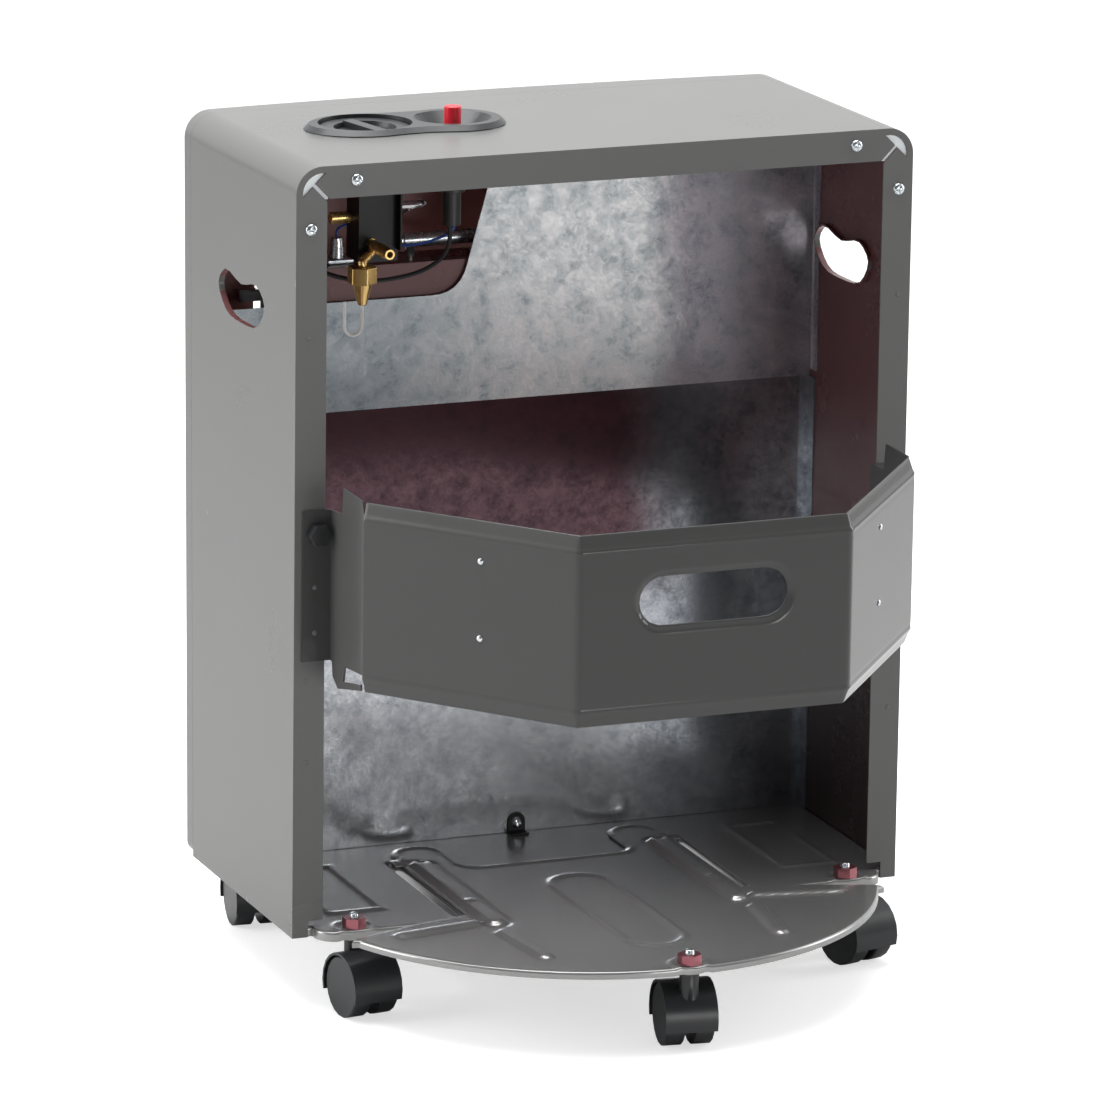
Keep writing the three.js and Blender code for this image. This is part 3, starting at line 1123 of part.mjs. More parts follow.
// where the cheek's end meets the inside of the belt
function cheekEnd() {
  const run = new THREE.Vector2(BELT_BEND_X - BELT_END_X, BELT_BEND_Y - BELT_END_Y).normalize();
  const inward = new THREE.Vector2(-run.y, run.x);
  const seat = SHEET + CLEAR;
  const face = new THREE.Vector2(BELT_END_X + inward.x * seat, BELT_END_Y + inward.y * seat);
  const outer = BRACKET_PLATE_INNER + SHEET;
  return face.y + ((face.x - outer) * inward.x) / inward.y;
}

function beltBracket(side) {
  const plate = box(
    BRACKET_PLATE_INNER, BRACKET_PLATE_OUTER, CLEAR, CLEAR + SHEET, BRACKET_PLATE_BOTTOM, BRACKET_PLATE_TOP);
  const end = cheekEnd();
  const leaned = end - BELT_EDGE_LEAN * 1.7;
  const outline = [
    [CLEAR, BRACKET_PLATE_BOTTOM], [6, BRACKET_PLATE_BOTTOM], [8, CHEEK_FOOT + 7], [20, CHEEK_FOOT],
    [leaned, BELT_BOTTOM], [leaned, BELT_BOTTOM + 5], [32, CHEEK_FOOT + 9], [36, BRACKET_PLATE_BOTTOM + 3],
    [end, BRACKET_PLATE_BOTTOM + 7], [end, BELT_TOP - BELT_EDGE - 2], [leaned, BELT_TOP],
    [CHEEK_POINT_Y, BELT_TOP], [CHEEK_POINT_Y - 3, BRACKET_PLATE_TOP + 2], [CLEAR, BRACKET_PLATE_TOP]];
  const cheekShape = new THREE.Shape(outline.map(([y, z]) => new THREE.Vector2(y, z)));
  const cheek = prismX(cheekShape, BRACKET_PLATE_INNER, BRACKET_PLATE_INNER + SHEET);
  const hole = postY(THUMB_X, THUMB_Z, 0, 3, THUMB_SHANK + CLEAR);
  const bracket = plate.add(cheek).subtract(hole);
  return side > 0 ? bracket : bracket.mirror([1, 0, 0]);
}

function thumbScrew(side) {
  const seat = 2 * CLEAR + SHEET;
  const points = [];
  const steps = THUMB_LOBES * 4;
  for (let i = 0; i < steps; i++) {
    const angle = (2 * Math.PI * i) / steps;
    const reach = THUMB_RADIUS - 0.8 + 0.8 * Math.cos(THUMB_LOBES * angle);
    points.push(new THREE.Vector2(
      side * THUMB_X + reach * Math.cos(angle), THUMB_Z + reach * Math.sin(angle)));
  }
  const head = prismY(new THREE.Shape(points), seat, seat + THUMB_THICKNESS);
  return head.add(postY(side * THUMB_X, THUMB_Z, -SHEET - 8, seat + 1, THUMB_SHANK));
}

// ---------------------------------------------------------------- castors
const CASTORS = [
  ['rear_left', CASTOR_X, CASTOR_REAR_Y, BASE_TOP, SHEET, 98],
  ['rear_right', -CASTOR_X, CASTOR_REAR_Y, BASE_TOP, SHEET, 106],
  ['front_left', CASTOR_X, CASTOR_FRONT_Y, BASE_TOP, SHEET, -95],
  ['front_right', -CASTOR_X, CASTOR_FRONT_Y, BASE_TOP, SHEET, -88],
  ['tray', 0, TRAY_CASTOR_Y, TRAY_TOP, TRAY_SHEET, -98],
];

// wheels and hood are drawn with the stem on the origin and the wheels trailing towards +X
function swivelled(solid, x, y, heading) {
  return solid.rotate([0, 0, heading]).translate([x, y, 0]);
}

function castorWheels() {
  const outer = WHEEL_RADIUS / Math.cos(Math.PI / WHEEL_STEPS);
  const inner = HOOD_WEB / 2 + CLEAR + 0.2;
  const wheelAt = (y0) => {
    const geometry = new THREE.CylinderGeometry(outer, outer, WHEEL_WIDTH, WHEEL_STEPS);
    geometry.rotateY(Math.PI / WHEEL_STEPS);
    geometry.translate(CASTOR_TRAIL, y0 + WHEEL_WIDTH / 2, WHEEL_RADIUS);
    return closed(geometry);
  };
  const hub = postY(CASTOR_TRAIL, WHEEL_RADIUS, -inner - 1, inner + 1, AXLE_RADIUS, AXLE_RADIUS, 12);
  return wheelAt(inner).add(wheelAt(-inner - WHEEL_WIDTH)).add(hub);
}

function castorHood(neckTop) {
  const half = HOOD_WEB / 2 + WHEEL_WIDTH + 2;
  const innerRadius = HOOD_RADIUS - HOOD_WALL;
  let hood = postY(CASTOR_TRAIL, WHEEL_RADIUS, -half, half, HOOD_RADIUS, HOOD_RADIUS, HOOD_STEPS);
  for (const side of [-1, 1]) {
    const y0 = side > 0 ? HOOD_WEB / 2 : -half - 1;
    const y1 = side > 0 ? half + 1 : -HOOD_WEB / 2;
    hood = hood.subtract(postY(CASTOR_TRAIL, WHEEL_RADIUS, y0, y1, innerRadius, innerRadius, HOOD_STEPS));
  }
  const reach = HOOD_RADIUS + 1;
  hood = hood.subtract(box(
    CASTOR_TRAIL - reach, CASTOR_TRAIL + reach, -half - 1, half + 1, -HOOD_RADIUS, WHEEL_RADIUS - 8));
  const boss = postZ(0, 0, WHEEL_RADIUS + 8, neckTop, CASTOR_NECK_RADIUS, CASTOR_NECK_RADIUS, 16);
  const wheelRoom = WHEEL_RADIUS + 1.5;
  const trimmed = boss
    .subtract(postY(CASTOR_TRAIL, WHEEL_RADIUS, HOOD_WEB / 2, half + 9, wheelRoom, wheelRoom, HOOD_STEPS))
    .subtract(postY(CASTOR_TRAIL, WHEEL_RADIUS, -half - 9, -HOOD_WEB / 2, wheelRoom, wheelRoom, HOOD_STEPS));
  hood = hood.add(trimmed);
  const axleRoom = AXLE_RADIUS + CLEAR;
  return hood.subtract(postY(CASTOR_TRAIL, WHEEL_RADIUS, -half, half, axleRoom, axleRoom, 12));
}

function castor(name, x, y, plateTop, plateSheet, heading) {
  const plateBottom = plateTop - plateSheet;
  const washerTop = plateBottom - CLEAR;
  const washerBottom = washerTop - WASHER_HEIGHT;
  const neckTop = washerBottom - CLEAR;
  const stemBottom = plateBottom - STEM_DEPTH;
  const bore = postZ(0, 0, stemBottom - CLEAR, neckTop + 1, STEM_RADIUS + CLEAR);
  add(`castor_${name}_hood`, swivelled(castorHood(neckTop).subtract(bore), x, y, heading), 'black');
  add(`castor_${name}_wheels`, swivelled(castorWheels(), x, y, heading), 'black');
  const stem = postZ(x, y, stemBottom, plateTop + STEM_ABOVE, STEM_RADIUS)
    .add(postZ(x, y, washerBottom, washerTop, WASHER_RADIUS));
  add(`castor_${name}_stem`, stem, 'zinc');
  const nut = prismZ(hexagon(x, y, NUT_FLATS), plateTop + CLEAR, plateTop + CLEAR + NUT_HEIGHT)
    .subtract(postZ(x, y, plateTop, plateTop + CLEAR + NUT_HEIGHT + 1, STEM_RADIUS + CLEAR));
  add(`castor_${name}_nut`, nut, 'zinc');
}

// ---------------------------------------------------------------- assembly
add('cabinet_shell', cabinetShell(), 'paint');
add('front_panel', frontPanel(), 'paint');
add('front_guard', frontGuard(), 'chrome');
add('base_plate', basePlate(), 'paint');
add('rear_tray', rearTray(), 'paint');
add('partition_lower', partitionLower(), 'galvanised');
add('partition_upper', partitionUpper(), 'galvanised');
add('base_catch', baseCatch(), 'black');
add('catch_screw', screw(CATCH_X, CATCH_SCREW_Z, PARTITION_LOWER_Y + SHEET + 2 * CLEAR), 'zinc');
add('burner_housing', burnerHousing(), 'galvanised');
for (let i = 0; i < PLAQUE_COUNT; i++) add(`burner_plaque_${i + 1}`, burnerPlaque(i), 'ceramic');
add('gas_manifold', gasManifold(), 'galvanised');
add('gas_pipe', gasPipe(), 'chrome');
add('pilot_burner', pilotBurner(), 'galvanised');
add('gas_valve', gasValve(), 'brass');
add('valve_bracket', valveBracket(), 'black');
add('push_sleeve', pushSleeve(), 'brass');
add('valve_spindle', valveSpindle(), 'brass');
add('control_knob', controlKnob(), 'darkGrey');
add('control_bezel', controlBezel(), 'darkGrey');
add('igniter_body', igniterBody(), 'black');
add('ignition_button', ignitionButton(), 'red');
add('igniter_lead', igniterLead(), 'blue');
add('ground_lead', groundLead(), 'black');
add('hose_nozzle', hoseNozzle(), 'brass');
add('union_nut', unionNut(), 'brass');
add('wire_hook', wireHook(), 'wire');
add('belt', belt(), 'paint');
for (const [label, side] of [['left', 1], ['right', -1]]) {
  add(`belt_bracket_${label}`, beltBracket(side), 'paint');
  add(`thumb_screw_${label}`, thumbScrew(side), 'black');
  add(`rear_screw_top_${label}`, screw(side * TOP_SCREW_X, TOP_SCREW_Z, CLEAR), 'zinc');
  add(`rear_screw_side_${label}`, screw(side * SIDE_SCREW_X, SIDE_SCREW_Z, CLEAR), 'zinc');
  add(`corner_piece_${label}`, cornerPiece(side), 'galvanised');
}
for (const place of CASTORS) castor(...place);

export default heater;
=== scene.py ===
# %% [markdown]
# # A portable gas cabinet heater, seen from its open back
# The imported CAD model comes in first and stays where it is. Each step below gives one of its
# pieces the finish that the real one has: soft edges, pressed ribs, paint, zinc, brass.

# %% Load the frame
import json
import math
import bmesh
import bpy
import numpy as np
from mathutils import Matrix, Vector
from mathutils.geometry import delaunay_2d_cdt


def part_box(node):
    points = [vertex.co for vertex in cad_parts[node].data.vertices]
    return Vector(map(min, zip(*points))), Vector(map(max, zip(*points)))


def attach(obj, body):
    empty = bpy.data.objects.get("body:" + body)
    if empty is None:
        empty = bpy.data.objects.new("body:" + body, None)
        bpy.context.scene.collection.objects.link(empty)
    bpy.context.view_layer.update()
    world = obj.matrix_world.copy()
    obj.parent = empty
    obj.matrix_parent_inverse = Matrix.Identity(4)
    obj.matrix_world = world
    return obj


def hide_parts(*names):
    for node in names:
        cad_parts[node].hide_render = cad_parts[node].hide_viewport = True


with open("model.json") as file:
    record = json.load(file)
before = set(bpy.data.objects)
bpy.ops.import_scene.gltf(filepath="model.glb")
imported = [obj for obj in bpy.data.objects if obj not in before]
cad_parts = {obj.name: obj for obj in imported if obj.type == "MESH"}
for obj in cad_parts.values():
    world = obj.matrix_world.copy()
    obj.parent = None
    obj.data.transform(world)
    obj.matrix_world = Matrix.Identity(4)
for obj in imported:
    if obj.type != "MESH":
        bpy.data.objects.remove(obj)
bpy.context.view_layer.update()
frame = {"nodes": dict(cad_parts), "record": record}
MM = 0.001
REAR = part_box("cabinet_shell")[1][1]      # the plane of the rear flanges
BODY = {n: b for b, ns in frame["record"]["behaviour"]["bodies"].items() for n in ns}
print("nodes:", len(frame["nodes"]), "rear plane at", round(REAR, 4))

# %% [markdown]
# The photograph was taken a little above the heater, from behind and to its left, with a long
# lens. The angles were worked out from the cabinet's edges.

# %% Camera
AZIMUTH = math.radians(21.761)
ELEVATION = math.radians(14.583)
ROLL = math.radians(0.806)
DISTANCE = 6.592451
TARGET = Vector((-0.000071, REAR - 0.116888, 0.333992))
LENS = 262.374
outward = Vector((
    math.sin(AZIMUTH) * math.cos(ELEVATION), math.cos(AZIMUTH) * math.cos(ELEVATION), math.sin(ELEVATION)))
level = (-outward).cross(Vector((0, 0, 1))).normalized()
upright = level.cross(-outward)
right = level * math.cos(ROLL) + upright * math.sin(ROLL)
up = upright * math.cos(ROLL) - level * math.sin(ROLL)
camera = bpy.data.objects.new("camera", bpy.data.cameras.new("camera"))
camera.data.lens = LENS
camera.data.sensor_width = 36
camera.data.clip_end = 100
camera.matrix_world = Matrix((right, up, outward)).transposed().to_4x4()
camera.matrix_world.translation = TARGET + outward * DISTANCE
bpy.context.collection.objects.link(camera)
bpy.context.scene.camera = camera
print("camera at", [round(v, 3) for v in camera.matrix_world.translation])

# %% [markdown]
# A studio for sheet metal is mostly white walls: what looks like shading on the paint is
# largely what it mirrors. Large soft lamps stand at both sides and above, and the room is dim
# behind the camera, so the rear flanges and the belt's middle stay dark.

# %% Floor, lamps and world
scene = bpy.context.scene
scene.view_settings.view_transform = "Standard"


def lamp(name, place, size, power):
    data = bpy.data.lights.new(name, "AREA")
    data.shape = "RECTANGLE"
    data.size, data.size_y = size
    data.energy = power
    light = bpy.data.objects.new(name, data)
    light.location = place
    aim = Vector((0, 0, 0.35)) - light.location
    light.rotation_euler = aim.to_track_quat("-Z", "Y").to_euler()
    bpy.context.collection.objects.link(light)


lamp("lamp_above", (0.2, -0.5, 3.0), (2.4, 2.4), 125)
lamp("lamp_left", (3.2, -0.7, 1.2), (2.0, 2.2), 66)
lamp("lamp_right", (-3.0, 0.3, 1.2), (1.6, 2.2), 46)
lamp("lamp_behind", (-0.9, 4.2, 0.5), (1.1, 1.0), 30)

world = bpy.data.worlds.new("white room")
scene.world = world
world.use_nodes = True
nodes, links = world.node_tree.nodes, world.node_tree.links
background = nodes["Background"]
ray = nodes.new("ShaderNodeLightPath")
direction = nodes.new("ShaderNodeTexCoord")
parts = nodes.new("ShaderNodeSeparateXYZ")
links.new(direction.outputs["Generated"], parts.inputs["Vector"])
BRIGHT_WALLS, DIM_WALL = 1.0, 0.12        # ahead of the camera and behind it
room = nodes.new("ShaderNodeMapRange")
room.inputs["From Min"].default_value = -0.15
room.inputs["From Max"].default_value = 0.55
room.inputs["To Min"].default_value = BRIGHT_WALLS
room.inputs["To Max"].default_value = DIM_WALL
links.new(parts.outputs["Y"], room.inputs["Value"])
brighter = nodes.new("ShaderNodeMath")
brighter.operation = "MAXIMUM"
links.new(ray.outputs["Is Camera Ray"], brighter.inputs[0])
links.new(room.outputs["Result"], brighter.inputs[1])
links.new(brighter.outputs[0], background.inputs["Strength"])
background.inputs["Color"].default_value = (1, 1, 1, 1)

REACH = 12.0
FLOOR_TONE = 0.62
floor_mesh = bpy.data.meshes.new("floor")
floor_mesh.from_pydata(
    [(-REACH, -REACH, 0), (REACH, -REACH, 0), (REACH, REACH, 0), (-REACH, REACH, 0)],
    [], [(0, 1, 2, 3)])
floor = bpy.data.objects.new("floor", floor_mesh)
bpy.context.collection.objects.link(floor)
floor_paint = bpy.data.materials.new("pale floor")
floor_paint.use_nodes = True
nodes, links = floor_paint.node_tree.nodes, floor_paint.node_tree.links
shader = nodes["Principled BSDF"]
shader.inputs["Base Color"].default_value = (FLOOR_TONE, FLOOR_TONE, FLOOR_TONE, 1)
shader.inputs["Roughness"].default_value = 0.9
shader.inputs["Specular IOR Level"].default_value = 0.1
ray = nodes.new("ShaderNodeLightPath")
lift = nodes.new("ShaderNodeMath")
lift.operation = "MULTIPLY"
lift.inputs[1].default_value = FLOOR_TONE
links.new(ray.outputs["Is Camera Ray"], lift.inputs[0])
shader.inputs["Emission Color"].default_value = (1, 1, 1, 1)
links.new(lift.outputs[0], shader.inputs["Emission Strength"])
floor.data.materials.append(floor_paint)

# %% [markdown]
# Finishes share three effects, so each is a node group that is built once: the fine orange
# peel of sprayed powder, the crystal pattern of dipped zinc, and soft drifts of dust.


# %% Shared effects
def effect(name, inputs, outputs):
    group = bpy.data.node_groups.new(name, "ShaderNodeTree")
    for label, kind, value in inputs:
        socket = group.interface.new_socket(label, in_out="INPUT", socket_type=kind)
        socket.default_value = value
    for label, kind in outputs:
        group.interface.new_socket(label, in_out="OUTPUT", socket_type=kind)
    source = group.nodes.new("NodeGroupInput")
    sink = group.nodes.new("NodeGroupOutput")
    return group, source.outputs, sink.inputs


def noise_node(group, scale_from, scale, detail=3.0, rough=0.55):
    place = group.nodes.new("ShaderNodeTexCoord")
    noise = group.nodes.new("ShaderNodeTexNoise")
    noise.inputs["Scale"].default_value = scale
    noise.inputs["Detail"].default_value = detail
    noise.inputs["Roughness"].default_value = rough
    group.links.new(place.outputs["Object"], noise.inputs["Vector"])
    if scale_from is not None:
        group.links.new(scale_from, noise.inputs["Scale"])
    return noise


FLOAT, COLOR, VECTOR = "NodeSocketFloat", "NodeSocketColor", "NodeSocketVector"
peel, given, out = effect(
    "Orange peel", [("Scale", FLOAT, 900.0), ("Depth", FLOAT, 0.06)], [("Normal", VECTOR), ("Mask", FLOAT)])
noise = noise_node(peel, given["Scale"], 900.0, 2.0)
bump = peel.nodes.new("ShaderNodeBump")
bump.inputs["Distance"].default_value = 0.0004
peel.links.new(given["Depth"], bump.inputs["Strength"])
peel.links.new(noise.outputs["Fac"], bump.inputs["Height"])
peel.links.new(bump.outputs["Normal"], out["Normal"])
peel.links.new(noise.outputs["Fac"], out["Mask"])

dust, given, out = effect(
    "Dust drift", [("Scale", FLOAT, 9.0), ("Low", FLOAT, 0.3), ("High", FLOAT, 0.4)], [("Roughness", FLOAT)])
noise = noise_node(dust, given["Scale"], 9.0, 5.0, 0.65)
spread = dust.nodes.new("ShaderNodeMapRange")
spread.inputs["From Min"].default_value = 0.3
spread.inputs["From Max"].default_value = 0.7
dust.links.new(noise.outputs["Fac"], spread.inputs["Value"])
dust.links.new(given["Low"], spread.inputs["To Min"])
dust.links.new(given["High"], spread.inputs["To Max"])
dust.links.new(spread.outputs["Result"], out["Roughness"])

spangle, given, out = effect(
    "Zinc spangle",
    [("Pale", COLOR, (0.8, 0.83, 0.84, 1)), ("Dark", COLOR, (0.5, 0.53, 0.55, 1)),
     ("Crystal scale", FLOAT, 330.0)],
    [("Color", COLOR), ("Roughness", FLOAT), ("Normal", VECTOR)])
place = spangle.nodes.new("ShaderNodeTexCoord")
warp = noise_node(spangle, None, 60.0, 2.0)
blur = spangle.nodes.new("ShaderNodeMixRGB")
blur.blend_type = "LINEAR_LIGHT"
blur.inputs["Fac"].default_value = 0.012
spangle.links.new(place.outputs["Object"], blur.inputs["Color1"])
spangle.links.new(warp.outputs["Color"], blur.inputs["Color2"])
crystal = spangle.nodes.new("ShaderNodeTexVoronoi")
spangle.links.new(given["Crystal scale"], crystal.inputs["Scale"])
spangle.links.new(blur.outputs["Color"], crystal.inputs["Vector"])
tone = spangle.nodes.new("ShaderNodeSeparateColor")
spangle.links.new(crystal.outputs["Color"], tone.inputs["Color"])
cloud = noise_node(spangle, None, 46.0, 8.0, 0.78)
level_mix = spangle.nodes.new("ShaderNodeMath")
level_mix.operation = "MULTIPLY_ADD"
level_mix.inputs[1].default_value = 0.32
spangle.links.new(tone.outputs["Red"], level_mix.inputs[0])
contrast = spangle.nodes.new("ShaderNodeMapRange")
contrast.inputs["From Min"].default_value = 0.4
contrast.inputs["From Max"].default_value = 0.62
contrast.inputs["To Max"].default_value = 0.68
spangle.links.new(cloud.outputs["Fac"], contrast.inputs["Value"])
spangle.links.new(contrast.outputs["Result"], level_mix.inputs[2])
blend = spangle.nodes.new("ShaderNodeMixRGB")
spangle.links.new(level_mix.outputs[0], blend.inputs["Fac"])
spangle.links.new(given["Pale"], blend.inputs["Color1"])
spangle.links.new(given["Dark"], blend.inputs["Color2"])
spangle.links.new(blend.outputs["Color"], out["Color"])
sheen = spangle.nodes.new("ShaderNodeMapRange")
sheen.inputs["To Min"].default_value = 0.2
sheen.inputs["To Max"].default_value = 0.38
spangle.links.new(level_mix.outputs[0], sheen.inputs["Value"])
spangle.links.new(sheen.outputs["Result"], out["Roughness"])
grain_bump = spangle.nodes.new("ShaderNodeBump")
grain_bump.inputs["Strength"].default_value = 0.04
grain_bump.inputs["Distance"].default_value = 0.0006
spangle.links.new(tone.outputs["Green"], grain_bump.inputs["Height"])
spangle.links.new(grain_bump.outputs["Normal"], out["Normal"])
print("effects:", [g.name for g in bpy.data.node_groups])

# %% [markdown]
# A finish starts as one Principled shader. Its colour drifts a little over the surface, so no
# piece has one flat colour, and the shared effects give its roughness and its fine relief.


# %% Finishes
def finish(
        name, color, metallic=0.0, rough=(0.3, 0.4), relief=(900.0, 0.06), drift=0.06, coat=0.0,
        gloss=0.5):
    material = bpy.data.materials.new(name)
    material.use_nodes = True
    tree = material.node_tree
    shader = tree.nodes["Principled BSDF"]
    shader.inputs["Metallic"].default_value = metallic
    shader.inputs["Coat Weight"].default_value = coat
    shader.inputs["Coat Roughness"].default_value = 0.12
    shader.inputs["Specular IOR Level"].default_value = gloss
    peel_node = tree.nodes.new("ShaderNodeGroup")
    peel_node.node_tree = peel
    peel_node.inputs["Scale"].default_value = relief[0]
    peel_node.inputs["Depth"].default_value = relief[1]
    dust_node = tree.nodes.new("ShaderNodeGroup")
    dust_node.node_tree = dust
    dust_node.inputs["Low"].default_value = rough[0]
    dust_node.inputs["High"].default_value = rough[1]
    shade = noise_node(tree, None, 14.0, 4.0)
    mix = tree.nodes.new("ShaderNodeMixRGB")
    mix.name = "colour drift"
    mix.inputs["Color1"].default_value = (*[c * (1 - drift) for c in color], 1)
    mix.inputs["Color2"].default_value = (*[min(1, c * (1 + drift)) for c in color], 1)
    tree.links.new(shade.outputs["Fac"], mix.inputs["Fac"])
    tree.links.new(mix.outputs["Color"], shader.inputs["Base Color"])
    tree.links.new(dust_node.outputs["Roughness"], shader.inputs["Roughness"])
    tree.links.new(peel_node.outputs["Normal"], shader.inputs["Normal"])
    return material


def galvanised(name, pale, dark, metallic=0.92):
    material = bpy.data.materials.new(name)
    material.use_nodes = True
    tree = material.node_tree
    shader = tree.nodes["Principled BSDF"]
    shader.inputs["Metallic"].default_value = metallic
    zinc_node = tree.nodes.new("ShaderNodeGroup")
    zinc_node.name = "zinc"
    zinc_node.node_tree = spangle
    zinc_node.inputs["Pale"].default_value = (*pale, 1)
    zinc_node.inputs["Dark"].default_value = (*dark, 1)
    for label, socket in (("Color", "Base Color"), ("Roughness", "Roughness"), ("Normal", "Normal")):
        tree.links.new(zinc_node.outputs[label], shader.inputs[socket])
    return material


grey_paint = finish(
    "grey powder paint", (0.135, 0.135, 0.133), rough=(0.24, 0.28), relief=(1400, 0.01),
    drift=0.02, gloss=0.2)
belt_paint = finish("belt paint", (0.066, 0.066, 0.065), 0.0, (0.12, 0.17), (1100, 0.008), 0.03, 0.1, 0.2)
tray_paint = finish("pressed steel grey", (0.3, 0.3, 0.297), 0.6, (0.2, 0.26), (1400, 0.006), 0.05, 0.35)
maroon_paint = finish(
    "brown primer", (0.17, 0.07, 0.072), rough=(0.2, 0.32), relief=(700, 0.015),
    drift=0.15, gloss=0.35)
zinc_sheet = galvanised("galvanised sheet", (0.72, 0.76, 0.78), (0.36, 0.39, 0.42))
zinc_plate = finish("bright zinc plate", (0.62, 0.66, 0.69), 1.0, (0.18, 0.3), (2500, 0.05), 0.08)
# zinc tinted red all over, used for the castor nuts
red_zinc = finish("red tinted zinc", (0.34, 0.12, 0.14), 0.85, (0.22, 0.34), (2500, 0.05), 0.2)
brass = finish("turned brass", (0.78, 0.53, 0.2), 0.85, (0.2, 0.32), (3000, 0.03), 0.12)
chrome = finish("bright plated wire", (0.72, 0.73, 0.74), 1.0, (0.1, 0.2), (2500, 0.03), 0.05)
black_plastic = finish("black moulded plastic", (0.016, 0.017, 0.019), rough=(0.3, 0.4), relief=(1500, 0.03))
black_paint = finish(
    "black bracket paint", (0.006, 0.006, 0.007), rough=(0.3, 0.4), relief=(1200, 0.02),
    gloss=0.25)
grey_plastic = finish("grey moulded plastic", (0.026, 0.028, 0.03), rough=(0.3, 0.4), relief=(1800, 0.04))
red_plastic = finish("red moulded plastic", (0.62, 0.006, 0.02), rough=(0.22, 0.32), relief=(1800, 0.05))
blue_wire = finish("blue lead", (0.02, 0.07, 0.32), rough=(0.35, 0.5), relief=(2000, 0.1))
black_wire = finish("black lead", (0.012, 0.012, 0.013), rough=(0.35, 0.5), relief=(2000, 0.1))
white_wire = finish("white coated wire", (0.8, 0.8, 0.78), rough=(0.25, 0.4), relief=(2000, 0.05))
corner_zinc = finish("pale zinc corner", (0.88, 0.94, 0.96), 0.0, (0.3, 0.45), (900, 0.05), 0.03)
ceramic = finish("burner ceramic", (0.72, 0.62, 0.5), rough=(0.75, 0.95), relief=(420, 0.9), drift=0.15)
print("finishes:", len(bpy.data.materials))

# %% [markdown]
# The CAD solids have sharp, faceted edges, and real sheet is folded over a small radius. A
# piece that only needs that is copied from its node, its loose triangles are merged, its edges
# are rounded by a Bevel modifier, and it stands for the node from then on.


# %% Helpers that make a finished piece
def merged(node):
    bm = bmesh.new()
    bm.from_mesh(frame["nodes"][node].data)
    bmesh.ops.remove_doubles(bm, verts=bm.verts, dist=2e-6)
    return bm


def plain_mesh(obj):
    deps = bpy.context.evaluated_depsgraph_get()
    mesh = bpy.data.meshes.new_from_object(obj.evaluated_get(deps))
    obj.modifiers.clear()
    obj.data = mesh
    return mesh


def smooth(mesh, angle=35):
    mesh.polygons.foreach_set("use_smooth", [True] * len(mesh.polygons))
    mesh.set_sharp_from_angle(angle=math.radians(angle))


def object_of(name, mesh):
    obj = bpy.data.objects.new(name, mesh)
    bpy.context.collection.objects.link(obj)
    return obj


def settle(obj, node, materials):
    if not obj.data.materials:
        for material in materials:
            obj.data.materials.append(material)
    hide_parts(node)
    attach(obj, BODY[node])


def dress(node, materials, bevel=0.3, segments=2, edge_angle=38, smooth_angle=38, pick=None, fold=None):
    bm = merged(node)
    bmesh.ops.dissolve_limit(bm, angle_limit=math.radians(0.4), verts=bm.verts, edges=bm.edges)
    if fold:
        weight = bm.edges.layers.float.new("bevel_weight_edge")
        for edge in bm.edges:
            edge[weight] = fold(edge)
    mesh = bpy.data.meshes.new(node + "_finished")
    bm.to_mesh(mesh)
    bm.free()
    obj = object_of(node + "_finished", mesh)
    if bevel:
        rounding = obj.modifiers.new("rounded edges", "BEVEL")
        rounding.width = bevel * MM
        rounding.segments = segments
        rounding.limit_method = "WEIGHT" if fold else "ANGLE"
        rounding.angle_limit = math.radians(edge_angle)
        mesh = plain_mesh(obj)
    smooth(mesh, smooth_angle)
    level = obj.modifiers.new("flat faces stay flat", "WEIGHTED_NORMAL")
    level.keep_sharp = True
    level.weight = 60
    mesh = plain_mesh(obj)
    for material in materials:
        mesh.materials.append(material)
    if pick:
        for face in mesh.polygons:
            face.material_index = pick(face)
    settle(obj, node, materials)
    return obj


PLAIN = {
    "front_guard": [chrome, 0], "gas_pipe": [chrome, 0], "pilot_burner": [zinc_sheet, 0.3],
    "gas_manifold": [zinc_sheet, 0], "burner_housing": [maroon_paint, 0.4], "gas_valve": [brass, 0.6],
    "push_sleeve": [brass, 0.3], "valve_spindle": [brass, 0], "valve_bracket": [black_paint, 0.3],
    "igniter_body": [black_plastic, 0.6], "ignition_button": [red_plastic, 0.9],
    "igniter_lead": [blue_wire, 0], "ground_lead": [black_wire, 0], "wire_hook": [white_wire, 0],
    "base_catch": [black_paint, 0.3], "hose_nozzle": [brass, 0.25], "union_nut": [brass, 0.7],
    "corner_piece_left": [corner_zinc, 0], "corner_piece_right": [corner_zinc, 0],
    "thumb_screw_left": [black_plastic, 0.8], "thumb_screw_right": [black_plastic, 0.8],
    "belt_bracket_left": [belt_paint, 0.35], "belt_bracket_right": [belt_paint, 0.35],
}
for node, (material, edge) in PLAIN.items():
    dress(node, [material], edge)
for index in (1, 2, 3):
    dress(f"burner_plaque_{index}", [ceramic], 0.5)
print("dressed:", len(PLAIN) + 3)

# %% [markdown]
# The cabinet is one folded sheet. Outside it is sprayed grey, and inside only the brown primer
# shows. The folds along its back rim are rounded, and the faces that look inwards are brown.

# %% Cabinet and front
WALL = 1.5 * MM
side_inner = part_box("cabinet_shell")[1][0] - WALL
cabinet_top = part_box("cabinet_shell")[1][2]


def inward(face):
    x, y, z = face.center
    nx, ny, nz = face.normal
    if ny < -0.5 and y > REAR - 3 * MM:
        return 1
    towards = (abs(x) > side_inner - 23 * MM and nx * x < -0.05) or (z > cabinet_top - 40 * MM and nz < -0.2)
    lip = side_inner - 8 * MM < abs(x) < side_inner - 0.2 * MM and z < cabinet_top - 60 * MM and abs(ny) < 0.9
    return 1 if (towards or lip) and y < REAR - 0.2 * MM else 0


